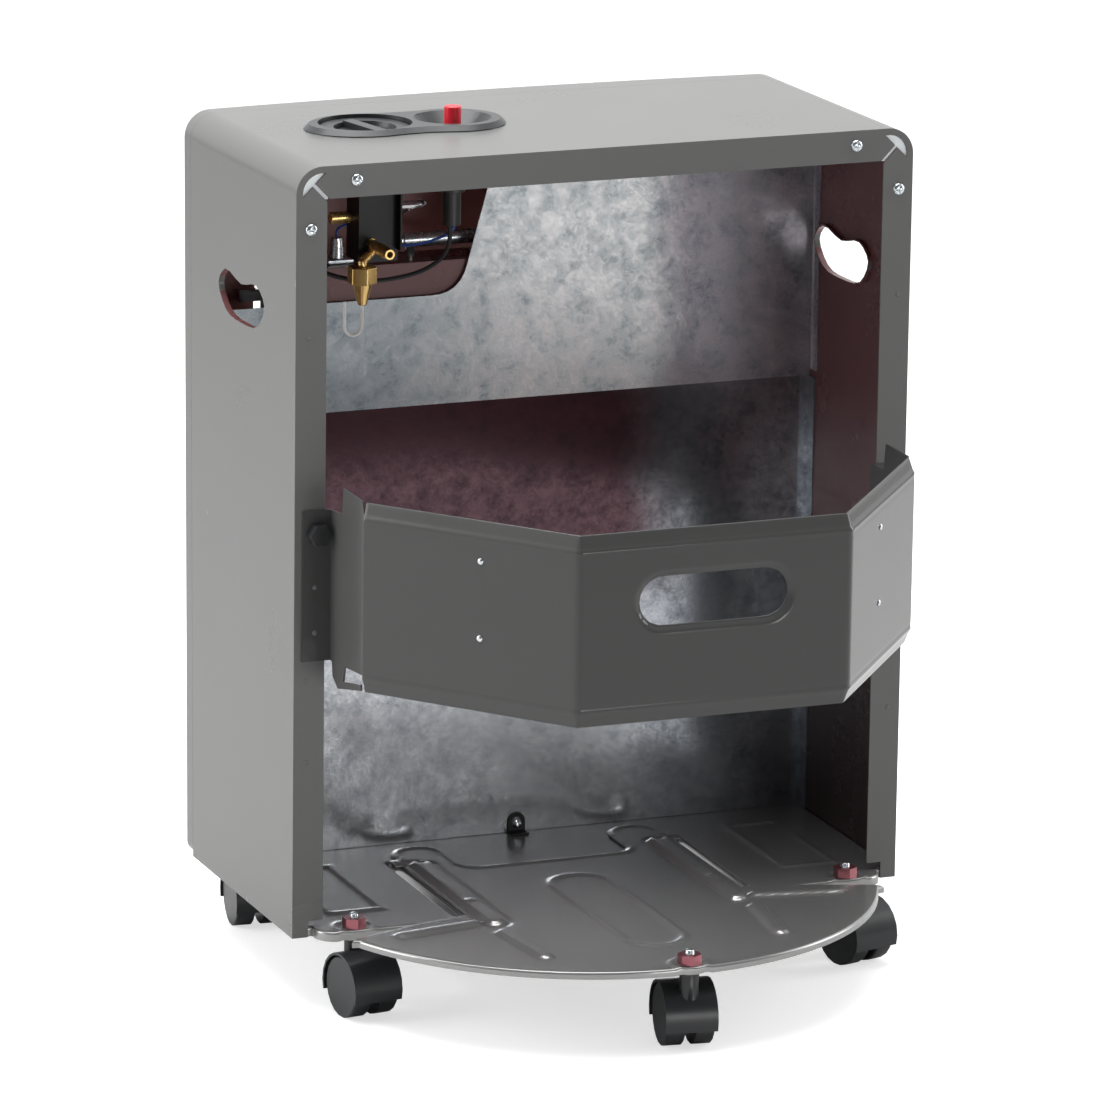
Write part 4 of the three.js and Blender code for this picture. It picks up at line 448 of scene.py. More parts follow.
def back_fold(edge):
    a, b = (v.co for v in edge.verts)
    if min(a.y, b.y) < REAR - 0.01 * MM:
        return 0.0
    outer = all(abs(p.x) > side_inner + 1.4 * MM or p.z > cabinet_top - 24 * MM for p in (a, b))
    if not outer or len(edge.link_faces) != 2:
        return 0.0
    one, two = (f.normal for f in edge.link_faces)
    return 1.0 if abs(one.y - two.y) > 0.7 and max(one.y, two.y) > 0.9 else 0.0


cabinet = dress("cabinet_shell", [grey_paint, maroon_paint], 1.1, 3, fold=back_fold, pick=inward)
dress(
    "front_panel", [grey_paint, maroon_paint], 1.2, 3, edge_angle=50,
    pick=lambda face: 1 if face.normal.y > 0.5 else 0)
print("cabinet faces:", len(cabinet.data.polygons))

# %% [markdown]
# The base plate and the tray are pressed sheets with ribs and rolled edges. Their plan comes
# from the CAD solid's top face. A triangulated grid fills that plan, a height is worked out at
# each point from the pressed forms, and the sheet's edge is rounded or folded down.


# %% Pressed sheets
def top_loops(node, level):
    bm = merged(node)
    faces = [f for f in bm.faces if f.normal.z > 0.99 and abs(f.calc_center_median().z - level) < 0.02 * MM]
    ways = set()
    for face in faces:
        for loop in face.loops:
            ways.add((loop.vert.index, loop.link_loop_next.vert.index))
    follow = {a: b for a, b in ways if (b, a) not in ways}
    place = {v.index: (v.co.x, v.co.y) for v in bm.verts}
    bm.free()
    loops = []
    while follow:
        start, here = follow.popitem()
        chain = [start]
        while here != start:
            chain.append(here)
            here = follow.pop(here)
        loops.append(np.array([place[i] for i in chain]))
    return loops


def straightened(loop):
    before, after = np.roll(loop, 1, 0), np.roll(loop, -1, 0)
    cross = np.cross(loop - before, after - loop)
    reach = np.linalg.norm(after - before, axis=1)
    return loop[np.abs(cross) > 1e-6 * reach]


def resampled(loop, step):
    points = []
    for a, b in zip(loop, np.roll(loop, -1, 0)):
        count = max(1, int(np.linalg.norm(b - a) / step))
        points += [a + (b - a) * i / count for i in range(count)]
    return np.array(points)


def outward_normals(loop):
    run = np.roll(loop, -1, 0) - loop
    run /= np.linalg.norm(run, axis=1)[:, None]
    side = np.stack([run[:, 1], -run[:, 0]], 1)
    both = side + np.roll(side, 1, 0)
    return both / np.maximum((both * both).sum(1), 0.6)[:, None] * 2


def inside(points, loops):
    hit = np.zeros(len(points), bool)
    x, y = points[:, 0], points[:, 1]
    for loop in loops:
        for (x0, y0), (x1, y1) in zip(loop, np.roll(loop, -1, 0)):
            if y0 != y1:
                hit ^= ((y0 > y) != (y1 > y)) & (x < (x1 - x0) * (y - y0) / (y1 - y0) + x0)
    return hit


def edge_distance(points, loops):
    best = np.full(len(points), 1e9)
    for loop in loops:
        for a, b in zip(loop, np.roll(loop, -1, 0)):
            run = b - a
            t = np.clip(((points - a) @ run) / (run @ run), 0, 1)
            best = np.minimum(best, np.linalg.norm(points - a - t[:, None] * run, axis=1))
    return best


def pressed_sheet(name, loops, us, vs, thickness, fold_at, mould, edge_steps=5):
    """Sheet over a plan: fold_at(points) gives the skirt's depth, mould(u, v, depth) the place."""
    rims, shells = [], []
    for loop in loops:
        normals = outward_normals(loop)
        skirt = fold_at(loop)
        draw = np.where(skirt > 0, FOLD_RADIUS, thickness / 2)
        rims.append((loop, normals, skirt, draw))
        shells.append(loop - normals * draw[:, None])
    step = min(us[1] - us[0], vs[1] - vs[0])
    grid = np.stack(np.meshgrid(us, vs), -1).reshape(-1, 2)
    grid = grid[inside(grid, shells)]
    grid = grid[edge_distance(grid, shells) > 0.45 * step]
    start = [0]
    for shell in shells:
        start.append(start[-1] + len(shell))
    rim_points = np.concatenate(shells)
    every = np.concatenate([rim_points, grid])
    edges = []
    for k, shell in enumerate(shells):
        n = len(shell)
        edges += [(start[k] + i, start[k] + (i + 1) % n) for i in range(n)]
    made = delaunay_2d_cdt([Vector(p) for p in every], edges, [], 0, 1e-9, True)
    flat = np.array([tuple(v) for v in made[0]])
    faces = np.array([f for f in made[2] if len(f) == 3])
    keep = inside(flat[faces].mean(1), shells)
    faces = faces[keep]
    origin = {old: new for new, olds in enumerate(made[3]) for old in olds}
    top = mould(flat[:, 0], flat[:, 1], np.zeros(len(flat)))
    under = mould(flat[:, 0], flat[:, 1], np.full(len(flat), thickness))
    verts = np.concatenate([top, under])
    count = len(flat)
    polys = [tuple(f) for f in faces] + [tuple(f[::-1] + count) for f in faces]
    for k, (loop, normals, skirt, draw) in enumerate(rims):
        rows = [np.array([origin[start[k] + i] for i in range(len(loop))])]
        profile = []
        for j in range(1, edge_steps + 1):
            turn = math.pi / 2 * j / edge_steps
            profile.append((math.sin(turn), 1 - math.cos(turn)))
        outer = [(-draw + draw * s, draw * c) for s, c in profile]
        wall = np.where(skirt > 0, thickness, 0)
        low = np.where(skirt > 0, skirt, thickness / 2)
        outer.append((np.zeros(len(loop)), low))
        outer.append((-wall, low))
        for j in range(edge_steps - 1, 0, -1):
            s, c = profile[j - 1]
            inner = np.maximum(draw - thickness, 0)
            folded = (-draw + inner * s, thickness + inner * c)
            round_edge = (-draw + draw * s, thickness - draw * c)
            outer.append(tuple(np.where(skirt > 0, f, r) for f, r in zip(folded, round_edge)))
        for out, down in outer:
            ring = loop + normals * out[:, None]
            base = len(verts)
            verts = np.concatenate([verts, mould(ring[:, 0], ring[:, 1], down)])
            rows.append(np.arange(base, base + len(loop)))
        rows.append(rows[0] + count)
        for one, two in zip(rows, rows[1:]):
            for i in range(len(loop)):
                j = (i + 1) % len(loop)
                polys.append((one[j], one[i], two[i], two[j]))
    mesh = bpy.data.meshes.new(name)
    mesh.from_pydata([tuple(v) for v in verts], [], [tuple(int(i) for i in p) for p in polys])
    bm = bmesh.new()
    bm.from_mesh(mesh)
    bmesh.ops.remove_doubles(bm, verts=bm.verts, dist=1e-6)
    bmesh.ops.delete(bm, geom=[v for v in bm.verts if not v.link_faces], context="VERTS")
    bmesh.ops.recalc_face_normals(bm, faces=bm.faces)
    bm.to_mesh(mesh)
    bm.free()
    smooth(mesh, 60)
    print(name, len(mesh.polygons), "faces")
    return mesh


def ramp(distance, width):
    t = np.clip(0.5 - distance / width, 0, 1)
    return t * t * (3 - 2 * t)


def bar_distance(x, y, a, b, radius):
    ax, ay = a[0] * MM, REAR + a[1] * MM
    bx, by = b[0] * MM, REAR + b[1] * MM
    dx, dy = bx - ax, by - ay
    t = np.clip(((x - ax) * dx + (y - ay) * dy) / (dx * dx + dy * dy + 1e-12), 0, 1)
    return np.hypot(x - ax - t * dx, y - ay - t * dy) - radius * MM


def ring_line(distance, width):
    return np.exp(-(distance / (width * MM)) ** 2)


FOLD_RADIUS = 2.2 * MM     # outside of a folded edge
GRID = 2.2 * MM            # between the points inside a sheet
RIM_STEP = 3 * MM          # between the points along its outline
print("pressed sheets: grid", GRID, "and outline", RIM_STEP)

# %% [markdown]
# The tray has a long rib and a short cross rib on each side, a long oval in its middle, a
# dimple on each tongue and a dished ring round the castor's nut.

# %% Slide-out tray
TRAY_SHEET = 1.6 * MM
NUT_GAP = 0.3 * MM         # the nut stands this far above the sheet
TRAY_CASTOR = 195          # how far the tray's castor is behind the rear flanges
# each pressed form is a bar in cabinet millimetres: its two ends and its radius
LONG_RIB = ((106, -128), (106, 40), 8.0)
CROSS_RIB = ((122, 40), (190, 52), 5.5)
REAR_RIB = ((110, 72), (102, 140), 6.5)
OVAL = ((0, -36), (0, 118), 25)
TONGUE_DIMPLE = ((106, -130), (106.1, -130), 1.0)
RIB_MARK = ((106, -13), (108, -13), 1.0)
NUT_RING = ((0, TRAY_CASTOR), (0.1, TRAY_CASTOR), 15)
tray_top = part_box("castor_tray_nut")[0][2] - NUT_GAP


def tray_height(x, y):
    ax = np.abs(x)
    rib = bar_distance(ax, y, *LONG_RIB)
    height = 3.2 * MM * ramp(rib, 4 * MM) - 1.2 * MM * ring_line(rib - 3.5 * MM, 2.2)
    height += 2.6 * MM * ramp(bar_distance(ax, y, *CROSS_RIB), 4 * MM)
    rim = edge_distance(np.stack([x, y], 1), tray_loops[:1])
    height += 1.3 * MM * ring_line(rim - 5 * MM, 2.0) * ramp(y - REAR - 12 * MM, 10 * MM)
    height += 2.8 * MM * ramp(bar_distance(ax, y, *REAR_RIB), 4 * MM)
    height += 1.5 * MM * ring_line(bar_distance(x, y, *OVAL), 3.2)
    height -= 2.4 * MM * ring_line(bar_distance(ax, y, *TONGUE_DIMPLE), 3.2)
    height += 0.9 * MM * ring_line(bar_distance(ax, y, *RIB_MARK), 2.6)
    height += 1.2 * MM * ring_line(bar_distance(x, y, *NUT_RING), 2.2)
    return height


def tray_mould(x, y, down):
    return np.stack([x, y, tray_top + tray_height(x, y) - down], 1)


def tray_fold(plan):
    behind = plan[:, 1] > REAR + 50 * MM
    off_castor = np.hypot(plan[:, 0], plan[:, 1] - REAR - TRAY_CASTOR * MM) > 8 * MM
    return np.where(behind & off_castor, 6 * MM, 0.0)


lo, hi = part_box("rear_tray")
tray_loops = [resampled(straightened(loop), RIM_STEP) for loop in top_loops("rear_tray", tray_top)]
tray_loops.sort(key=len, reverse=True)
tray_mesh = pressed_sheet(
    "tray_pressed", tray_loops, np.arange(lo[0], hi[0], GRID), np.arange(lo[1], hi[1], GRID),
    TRAY_SHEET, tray_fold, tray_mould)
tray = object_of("tray_pressed", tray_mesh)
settle(tray, "rear_tray", [tray_paint])

# %% [markdown]
# The base plate shows a pressed panel beside each slot, a shallow ring round each castor's nut
# and a rolled edge. It is made in the same way.

# %% Base plate
BASE_SHEET = 1.5 * MM
PANEL_X, PANEL_DEPTH = 200 * MM, 92 * MM          # centre, from the middle and from the flanges
PANEL_HALF_X, PANEL_HALF_Y = 22 * MM, 62 * MM
REAR_NUT_RING = ((216, 9.5), (216.1, 9.5), 16)
FRONT_NUT_RING = ((216, -222), (216.1, -222), 16)
BASE_SLOT = ((126, -146), (126, 5), 4)
base_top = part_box("base_plate")[1][2]


def base_height(x, y):
    ax = np.abs(x)
    beside = np.abs(ax - PANEL_X) - PANEL_HALF_X
    panel = np.maximum(beside, np.abs(y - REAR + PANEL_DEPTH) - PANEL_HALF_Y)
    height = 1.7 * MM * ring_line(panel, 2.8)
    height += 1.1 * MM * ring_line(bar_distance(ax, y, *REAR_NUT_RING), 2.2)
    height += 0.9 * MM * ring_line(bar_distance(ax, y, *FRONT_NUT_RING), 2.2)
    slot = bar_distance(ax, y, *BASE_SLOT)
    return height * ramp(3 * MM - slot, 3 * MM)


def base_mould(x, y, down):
    return np.stack([x, y, base_top + base_height(x, y) - down], 1)


def base_fold(plan):
    long_outline = np.ptp(plan[:, 1]) > 100 * MM      # the rim and the slots, not the holes
    return np.full(len(plan), 8 * MM if long_outline else 0.0)


lo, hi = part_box("base_plate")
base_loops = [resampled(straightened(loop), RIM_STEP) for loop in top_loops("base_plate", base_top)]
base_mesh = pressed_sheet(
    "base_pressed", base_loops, np.arange(lo[0], hi[0], GRID), np.arange(lo[1], hi[1], GRID),
    BASE_SHEET, base_fold, base_mould)
base = object_of("base_pressed", base_mesh)
settle(base, "base_plate", [tray_paint])

# %% [markdown]
# The guard belt is one strip of sheet bent at two corners. Its plan line has a small radius at
# each bend, its upper and lower edges lean inwards, and the sheet turns in round the hand
# slot. The plan is unrolled, so the same pressed-sheet helper can fill it.

# %% Guard belt
BEND_X, BEND_Y = 115.6, 234.5      # cabinet millimetres
END_X, END_Y = 238, 81
BELT_BEND = (BEND_X * MM, BEND_Y * MM)
BELT_END = (END_X * MM, END_Y * MM)
BELT_LOW, BELT_HIGH = (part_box("belt")[i][2] for i in (0, 1))
BEND_RADIUS = 7 * MM
BELT_SHEET = 1.5 * MM


def belt_line():
    corners = [np.array(p) for p in (
        BELT_END, BELT_BEND, (-BELT_BEND[0], BELT_BEND[1]), (-BELT_END[0], BELT_END[1]))]
    points = [corners[0]]
    for before, corner, after in zip(corners, corners[1:], corners[2:]):
        a = (before - corner) / np.linalg.norm(before - corner)
        b = (after - corner) / np.linalg.norm(after - corner)
        half = math.acos(float(a @ b)) / 2
        cut = BEND_RADIUS / math.tan(half)
        centre = corner + (a + b) / np.linalg.norm(a + b) * BEND_RADIUS / math.sin(half)
        start, stop = corner + a * cut, corner + b * cut
        t0 = math.atan2(*(start - centre)[::-1])
        t1 = math.atan2(*(stop - centre)[::-1])
        for i in range(9):
            t = t0 + (t1 - t0) * i / 8
            points.append(centre + BEND_RADIUS * np.array([math.cos(t), math.sin(t)]))
    points.append(corners[-1])
    return np.array(points)


line = belt_line()
run = np.diff(line, axis=0)
length = np.linalg.norm(run, axis=1)
along = np.concatenate([[0], np.cumsum(length)])
side = np.stack([run[:, 1], -run[:, 0]], 1) / length[:, None]
corner_side = np.concatenate([side[:1], side[:-1] + side[1:], side[-1:]])
corner_side /= np.linalg.norm(corner_side, axis=1)[:, None]
BELT_LENGTH = along[-1]
SLOT_RISE = 20 * MM                # the hand slot lies above the belt's middle
SLOT_HEIGHT, SLOT_HALF_LENGTH = 42 * MM, 64 * MM
SLOT_MIDDLE = (BELT_LOW + BELT_HIGH) / 2 + SLOT_RISE
EDGE, EDGE_LEAN = 14 * MM, 5 * MM


def slot_distance(u, v):
    straight = SLOT_HALF_LENGTH - SLOT_HEIGHT / 2
    du = np.maximum(np.abs(u - BELT_LENGTH / 2) - straight, 0)
    return np.hypot(du, v - SLOT_MIDDLE) - SLOT_HEIGHT / 2


def belt_mould(u, v, down):
    place = np.stack([np.interp(u, along, line[:, i]) for i in (0, 1)], 1)
    normal = np.stack([np.interp(u, along, corner_side[:, i]) for i in (0, 1)], 1)
    normal /= np.linalg.norm(normal, axis=1)[:, None]
    near = np.minimum(v - BELT_LOW, BELT_HIGH - v)
    lean = EDGE_LEAN * np.clip((EDGE - near) / EDGE, 0, 1)
    soft = 0.6 * MM * np.exp(-((near - EDGE) / (2.4 * MM)) ** 2)
    lip = 3.4 * MM * np.clip(1 - slot_distance(u, v) / (5 * MM), 0, 1) ** 2
    out = -lean - soft + 1.3 * MM * ring_line(near - EDGE + 1 * MM, 1.7) - lip - down - 0.5 * MM
    flat = place + normal * out[:, None]
    return np.stack([flat[:, 0], REAR + flat[:, 1], v], 1)


turns = np.linspace(0, 2 * math.pi, 64, endpoint=False)
hole = []
for t in turns:
    ray = np.array([math.cos(t), math.sin(t)])
    reach = np.linspace(0, 70 * MM, 1400)
    gone = slot_distance(BELT_LENGTH / 2 + ray[0] * reach, SLOT_MIDDLE + ray[1] * reach)
    hit = reach[np.searchsorted(gone, -1.2 * MM)]
    hole.append((BELT_LENGTH / 2 + ray[0] * hit, SLOT_MIDDLE + ray[1] * hit))
hole = np.array(hole)[::-1]
frame_loop = np.array([
    (0, BELT_LOW), (BELT_LENGTH, BELT_LOW), (BELT_LENGTH, BELT_HIGH), (0, BELT_HIGH)])
belt_mesh = pressed_sheet(
    "belt_bent", [resampled(frame_loop, RIM_STEP), hole],
    np.arange(0, BELT_LENGTH, 3 * MM), np.arange(BELT_LOW, BELT_HIGH, 1.9 * MM), BELT_SHEET,
    lambda p: np.zeros(len(p)), belt_mould)
belt = object_of("belt_bent", belt_mesh)
belt_mesh.materials.append(belt_paint)
belt_mesh.materials.append(maroon_paint)
for face in belt_mesh.polygons:
    cx = face.center.x
    facing = face.normal.y * 0.62 + abs(cx) / BELT_END[0] * 0.5 * face.normal.x * (1 if cx > 0 else -1)
    face.material_index = 1 if facing < -0.35 else 0
settle(belt, "belt", [belt_paint])

# %% [markdown]
# The partition is galvanised sheet in two halves. The upper one is pale in the middle, with a painted
# reflection on each side. The lower one has a brown tint that fades downwards and to the right, and a
# painted reflection darkens it to the right. The fades are soft bands along one axis, broken by noise.


# %% Partition
def band(tree, axis, start, stop, rough=0.0):
    place = tree.nodes.new("ShaderNodeTexCoord")
    parts = tree.nodes.new("ShaderNodeSeparateXYZ")
    fade = tree.nodes.new("ShaderNodeMapRange")
    fade.interpolation_type = "SMOOTHSTEP"
    fade.inputs["From Min"].default_value = start
    fade.inputs["From Max"].default_value = stop
    tree.links.new(place.outputs["Object"], parts.inputs["Vector"])
    shift = tree.nodes.new("ShaderNodeMath")
    shift.operation = "MULTIPLY_ADD"
    shift.inputs[1].default_value = rough
    noise = noise_node(tree, None, 22.0, 4.0, 0.6)
    tree.links.new(noise.outputs["Fac"], shift.inputs[0])
    tree.links.new(parts.outputs[axis], shift.inputs[2])
    tree.links.new(shift.outputs[0], fade.inputs["Value"])
    return fade.outputs["Result"]


def tinted(material, color, masks, weight, kind="MIX"):
    tree = material.node_tree
    shader = tree.nodes["Principled BSDF"]
    last = shader.inputs["Base Color"].links[0].from_socket
    strength = None
    for mask in masks:
        if strength is None:
            strength = mask
            continue
        both = tree.nodes.new("ShaderNodeMath")
        both.operation = "MULTIPLY"
        tree.links.new(strength, both.inputs[0])
        tree.links.new(mask, both.inputs[1])
        strength = both.outputs[0]
    scaled = tree.nodes.new("ShaderNodeMath")
    scaled.operation = "MULTIPLY"
    scaled.inputs[1].default_value = weight
    tree.links.new(strength, scaled.inputs[0])
    mix = tree.nodes.new("ShaderNodeMixRGB")
    mix.blend_type = kind
    mix.inputs["Color2"].default_value = (*color, 1)
    tree.links.new(scaled.outputs[0], mix.inputs["Fac"])
    tree.links.new(last, mix.inputs["Color1"])
    tree.links.new(mix.outputs["Color"], shader.inputs["Base Color"])


tree = maroon_paint.node_tree
tinted(maroon_paint, (0.22, 0.42, 0.42), [band(tree, "Z", 0.33, 0.26)], 0.9, "MULTIPLY")
zinc_upper = galvanised("galvanised sheet, dull, painted side reflections", (1.0, 1.0, 1.0), (0.3, 0.36, 0.39), 0.3)
tree = zinc_upper.node_tree
# painted reflections: the upper sheet is darkened in a band towards each side wall
tinted(zinc_upper, (0.42, 0.48, 0.52), [band(tree, "X", 0.0, 0.17, 0.06)], 0.85, "MULTIPLY")
tinted(zinc_upper, (0.36, 0.31, 0.36), [band(tree, "X", -0.085, -0.13, 0.04)], 0.85, "MULTIPLY")
zinc_lower = galvanised("galvanised sheet, brown tinted", (0.74, 0.76, 0.79), (0.26, 0.28, 0.31), 0.8)
tree = zinc_lower.node_tree
shine = tree.nodes.new("ShaderNodeMapRange")
shine.inputs["From Min"].default_value = 0.2
shine.inputs["From Max"].default_value = 0.38
shine.inputs["To Min"].default_value = 0.13
shine.inputs["To Max"].default_value = 0.22
tree.links.new(tree.nodes["zinc"].outputs["Roughness"], shine.inputs["Value"])
tree.links.new(shine.outputs["Result"], tree.nodes["Principled BSDF"].inputs["Roughness"])
# a brown tint above about 0.3 m, fading downwards and to the right
tinted(
    zinc_lower, (0.13, 0.045, 0.06),
    [band(tree, "Z", 0.27, 0.33, 0.05), band(tree, "X", -0.165, -0.06, 0.05)], 0.95, "MULTIPLY")
# painted reflection: the lower sheet is darkened towards the right side wall
tinted(zinc_lower, (0.5, 0.52, 0.55), [band(tree, "X", -0.06, -0.12, 0.05)], 0.8, "MULTIPLY")
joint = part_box("partition_upper")[0][2]
# painted highlight: faces along the upper sheet's bottom edge, and those facing down, are near-white
hem_highlight_paint = finish("painted hem highlight", (0.95, 0.97, 0.98), 0.3, (0.2, 0.3), (2000, 0.01), 0.03)


def hem_face(face):
    low = face.center.z < joint + 7 * MM and abs(face.normal.z) < 0.5
    return 1 if low or face.normal.z < -0.5 else 0


dress("partition_upper", [zinc_upper, hem_highlight_paint], 0, pick=hem_face)
dress("partition_lower", [zinc_lower], 0)

# %% [markdown]
# A pan head screw is a low dome with a cross pressed into it. One head is modelled in polar
# rings, and Geometry Nodes sets it on a point for each screw, all alike and in one mesh.


# %% Repeated fasteners by Geometry Nodes
def dome(name, radius, height, cross=0.0, arm=0.0, rings=12, sides=40):
    verts, faces = [(0, 0, height - cross)], []
    for i in range(1, rings + 1):
        r = radius * i / rings
        for j in range(sides):
            t = 2 * math.pi * j / sides
            x, y = r * math.cos(t), r * math.sin(t)
            z = height * math.sqrt(max(0.0, 1 - (r / radius) ** 2.6))
            if cross and min(abs(x), abs(y)) < arm and max(abs(x), abs(y)) < radius * 0.62:
                z -= cross * (1 - max(abs(x), abs(y)) / radius)
            verts.append((x, y, z))
    for j in range(sides):
        faces.append((0, 1 + j, 1 + (j + 1) % sides))
    for i in range(rings - 1):
        for j in range(sides):
            a, b = 1 + i * sides + j, 1 + i * sides + (j + 1) % sides
            faces.append((a, a + sides, b + sides, b))
    last = 1 + (rings - 1) * sides
    faces.append(tuple(last + j for j in reversed(range(sides))))
    mesh = bpy.data.meshes.new(name)
    mesh.from_pydata(verts, [], faces)
    smooth(mesh, 50)
    return object_of(name, mesh)


def repeat_tree(name, prototype):
    tree = bpy.data.node_groups.new(name, "GeometryNodeTree")
    face = tree.interface
    face.new_socket("Geometry", in_out="INPUT", socket_type="NodeSocketGeometry")
    turn = face.new_socket("Tilt", in_out="INPUT", socket_type="NodeSocketVector")
    size = face.new_socket("Size", in_out="INPUT", socket_type="NodeSocketFloat")
    size.default_value = 1.0
    coat = face.new_socket("Finish", in_out="INPUT", socket_type="NodeSocketMaterial")
    face.new_socket("Geometry", in_out="OUTPUT", socket_type="NodeSocketGeometry")
    source, sink = tree.nodes.new("NodeGroupInput"), tree.nodes.new("NodeGroupOutput")
    model = tree.nodes.new("GeometryNodeObjectInfo")
    model.inputs["Object"].default_value = prototype
    model.transform_space = "ORIGINAL"
    each = tree.nodes.new("GeometryNodeInstanceOnPoints")
    real = tree.nodes.new("GeometryNodeRealizeInstances")
    paint = tree.nodes.new("GeometryNodeSetMaterial")
    tree.links.new(source.outputs["Geometry"], each.inputs["Points"])
    tree.links.new(model.outputs["Geometry"], each.inputs["Instance"])
    tree.links.new(source.outputs["Tilt"], each.inputs["Rotation"])
    tree.links.new(source.outputs["Size"], each.inputs["Scale"])
    tree.links.new(each.outputs["Instances"], real.inputs["Geometry"])
    tree.links.new(real.outputs["Geometry"], paint.inputs["Geometry"])
    tree.links.new(source.outputs["Finish"], paint.inputs["Material"])
    tree.links.new(paint.outputs["Geometry"], sink.inputs["Geometry"])
    return tree, {"Tilt": turn.identifier, "Size": size.identifier, "Finish": coat.identifier}


def repeated(
        name, made, points, body, material, tilt=(-math.pi / 2, 0, 0), size=1.0, nodes=()):
    tree, names = made
    mesh = bpy.data.meshes.new(name)
    mesh.from_pydata([tuple(p) for p in points], [], [])
    obj = object_of(name, mesh)
    modifier = obj.modifiers.new(name, "NODES")
    modifier.node_group = tree
    modifier[names["Tilt"]] = tilt
    modifier[names["Size"]] = size
    modifier[names["Finish"]] = material
    plain_mesh(obj)
    if nodes:
        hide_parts(*nodes)
    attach(obj, body)
    print(name, len(points), "copies,", len(obj.data.polygons), "faces")


def at(x, y, z):
    return (x * MM, REAR + y * MM, z * MM)


def node_centre(node):
    low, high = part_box(node)
    return [(a + b) / 2 for a, b in zip(low, high)]


HEAD_RADIUS, HEAD_HEIGHT = 5.2 * MM, 3 * MM
head = dome("pan_head", HEAD_RADIUS, HEAD_HEIGHT, cross=1.6 * MM, arm=0.75 * MM)
heads = repeat_tree("Pan head screws", head)
screws = [f"rear_screw_{place}_{hand}" for place in ("top", "side") for hand in ("left", "right")]
spots = [(node_centre(n)[0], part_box(n)[1][1] - HEAD_HEIGHT, node_centre(n)[2]) for n in screws]
repeated("rear_screw_heads", heads, spots, "cabinet", zinc_plate, nodes=screws)
spot = node_centre("catch_screw")
repeated(
    "catch_screw_head", heads, [(spot[0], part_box("catch_screw")[1][1] - HEAD_HEIGHT, spot[2])], "cabinet",
    zinc_plate, nodes=["catch_screw"])
stud = dome("rivet_head", 2.6 * MM, 1.0 * MM, rings=4, sides=16)
rivets = repeat_tree("Rivets", stud)
FLANGE_RIVET_X, FLANGE_RIVET_Z = 255, (556.5, 275.3, 208)
BRACKET_RIVET_X, BRACKET_RIVET_Z = 248.5, (353, 315.5)
BELT_RIVET_X, BELT_RIVET_Z = 171, (408.5, 346)
flange_spots = [at(s * FLANGE_RIVET_X, 0, z) for s in (-1, 1) for z in FLANGE_RIVET_Z]
flange_spots += [at(s * BRACKET_RIVET_X, 1.8, z) for s in (-1, 1) for z in BRACKET_RIVET_Z]
repeated("flange_rivets", rivets, flange_spots, "cabinet", grey_paint, size=0.85)
slant = np.array([BELT_BEND[0] - BELT_END[0], BELT_BEND[1] - BELT_END[1]])
for hand, sign in (("left", 1), ("right", -1)):
    share = (END_X - BELT_RIVET_X) / (END_X - BEND_X)
    y = END_Y + share * (BEND_Y - END_Y)
    points = [at(sign * BELT_RIVET_X, y, z) for z in BELT_RIVET_Z]
    repeated(
        f"belt_rivets_{hand}", rivets, points, "cabinet", zinc_plate,
        (-math.pi / 2, 0, -sign * math.atan2(slant[1], -slant[0])), 1.0)
for model in (head, stud):
    bpy.data.objects.remove(model)

# %% [markdown]
# Each castor is a pair of black wheels under one hood, held by a zinc stud and a red nut. The stud's
# thread is a turned profile with a ridge for every turn, and the nut has chamfered corners.


# %% Castors
def turned(name, x, y, profile, sides=32):
    verts, faces = [], []
    for r, z in profile:
        for j in range(sides):
            t = 2 * math.pi * j / sides
            verts.append((x + r * math.cos(t), y + r * math.sin(t), z))
    count = len(profile)
    for i in range(count - 1):
        for j in range(sides):
            k = (j + 1) % sides
            faces.append((i * sides + j, i * sides + k, (i + 1) * sides + k, (i + 1) * sides + j))
    faces.append(tuple(reversed(range(sides))))
    faces.append(tuple((count - 1) * sides + j for j in range(sides)))
    mesh = bpy.data.meshes.new(name)
    mesh.from_pydata(verts, [], faces)
    smooth(mesh, 50)
    return object_of(name, mesh)


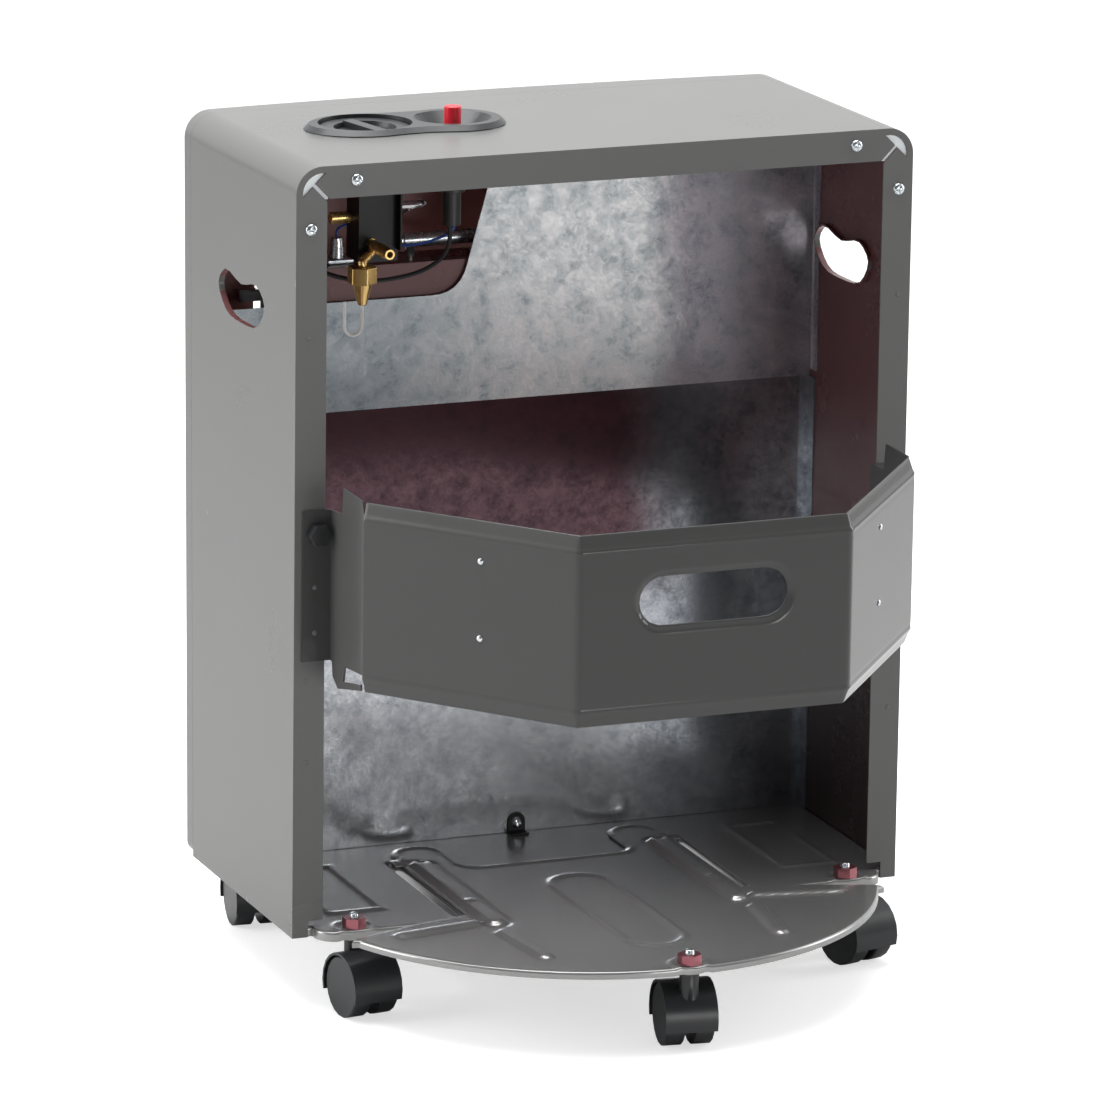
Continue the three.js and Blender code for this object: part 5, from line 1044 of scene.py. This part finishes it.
PITCH = 1.25 * MM
STUD_RADIUS = 4 * MM
WASHER_RADIUS, WASHER_HEIGHT = 8.6 * MM, 1.6 * MM
for name in ("rear_left", "rear_right", "front_left", "front_right", "tray"):
    label = f"castor_{name}"
    low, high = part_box(f"{label}_stem")
    x, y = (low[0] + high[0]) / 2, (low[1] + high[1]) / 2
    profile = [(0.3 * MM, low[2]), (3.7 * MM, low[2]), (STUD_RADIUS, low[2] + 0.4 * MM)]
    washer_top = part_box(f"{label}_hood")[1][2] + 1.9 * MM
    washer_low = washer_top - WASHER_HEIGHT
    profile += [(STUD_RADIUS, washer_low), (WASHER_RADIUS, washer_low)]
    profile += [(WASHER_RADIUS, washer_top), (STUD_RADIUS, washer_top)]
    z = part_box(f"{label}_nut")[1][2] - 1 * MM
    while z < high[2] - PITCH:
        profile += [(3.95 * MM, z), (3.4 * MM, z + PITCH / 2)]
        z += PITCH
    profile += [(3.5 * MM, high[2] - 0.8 * MM), (2.9 * MM, high[2] - 0.1 * MM), (0.3 * MM, high[2])]
    thread = turned(f"{label}_stud", x, y, profile)
    settle(thread, f"{label}_stem", [zinc_plate])
    dress(f"{label}_nut", [red_zinc], 1.1, 3)
    dress(f"{label}_hood", [black_plastic], 1.1, 3, edge_angle=50)
    dress(f"{label}_wheels", [black_plastic], 1.6, 3, edge_angle=50)
print("castors finished")

# %% [markdown]
# The knob has a grey rim and a black dish with a grey grip across it. The bezel round it is
# grey moulded plastic, soft at every edge.

# %% Knob and bezel
knob_low, knob_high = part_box("control_knob")
knob_x, knob_y = (knob_low[0] + knob_high[0]) / 2, (knob_low[1] + knob_high[1]) / 2
GRIP_TURN = math.radians(103)
GRIP_HALF_WIDTH, DISH_RADIUS = 5.2 * MM, 26 * MM


def knob_face(face):
    dx, dy = face.center.x - knob_x, face.center.y - knob_y
    across = abs(-dx * math.sin(GRIP_TURN) + dy * math.cos(GRIP_TURN))
    dished = math.hypot(dx, dy) < DISH_RADIUS and face.center.z < knob_high[2] - 1.6 * MM
    return 1 if dished and across > GRIP_HALF_WIDTH and face.center.z > knob_low[2] + 2 * MM else 0


dress("control_knob", [grey_plastic, black_plastic], 0.7, 3, pick=knob_face)
dress("control_bezel", [grey_plastic], 0.8, 3, edge_angle=42)
print("knob at", round(knob_x, 4), round(knob_y, 4))
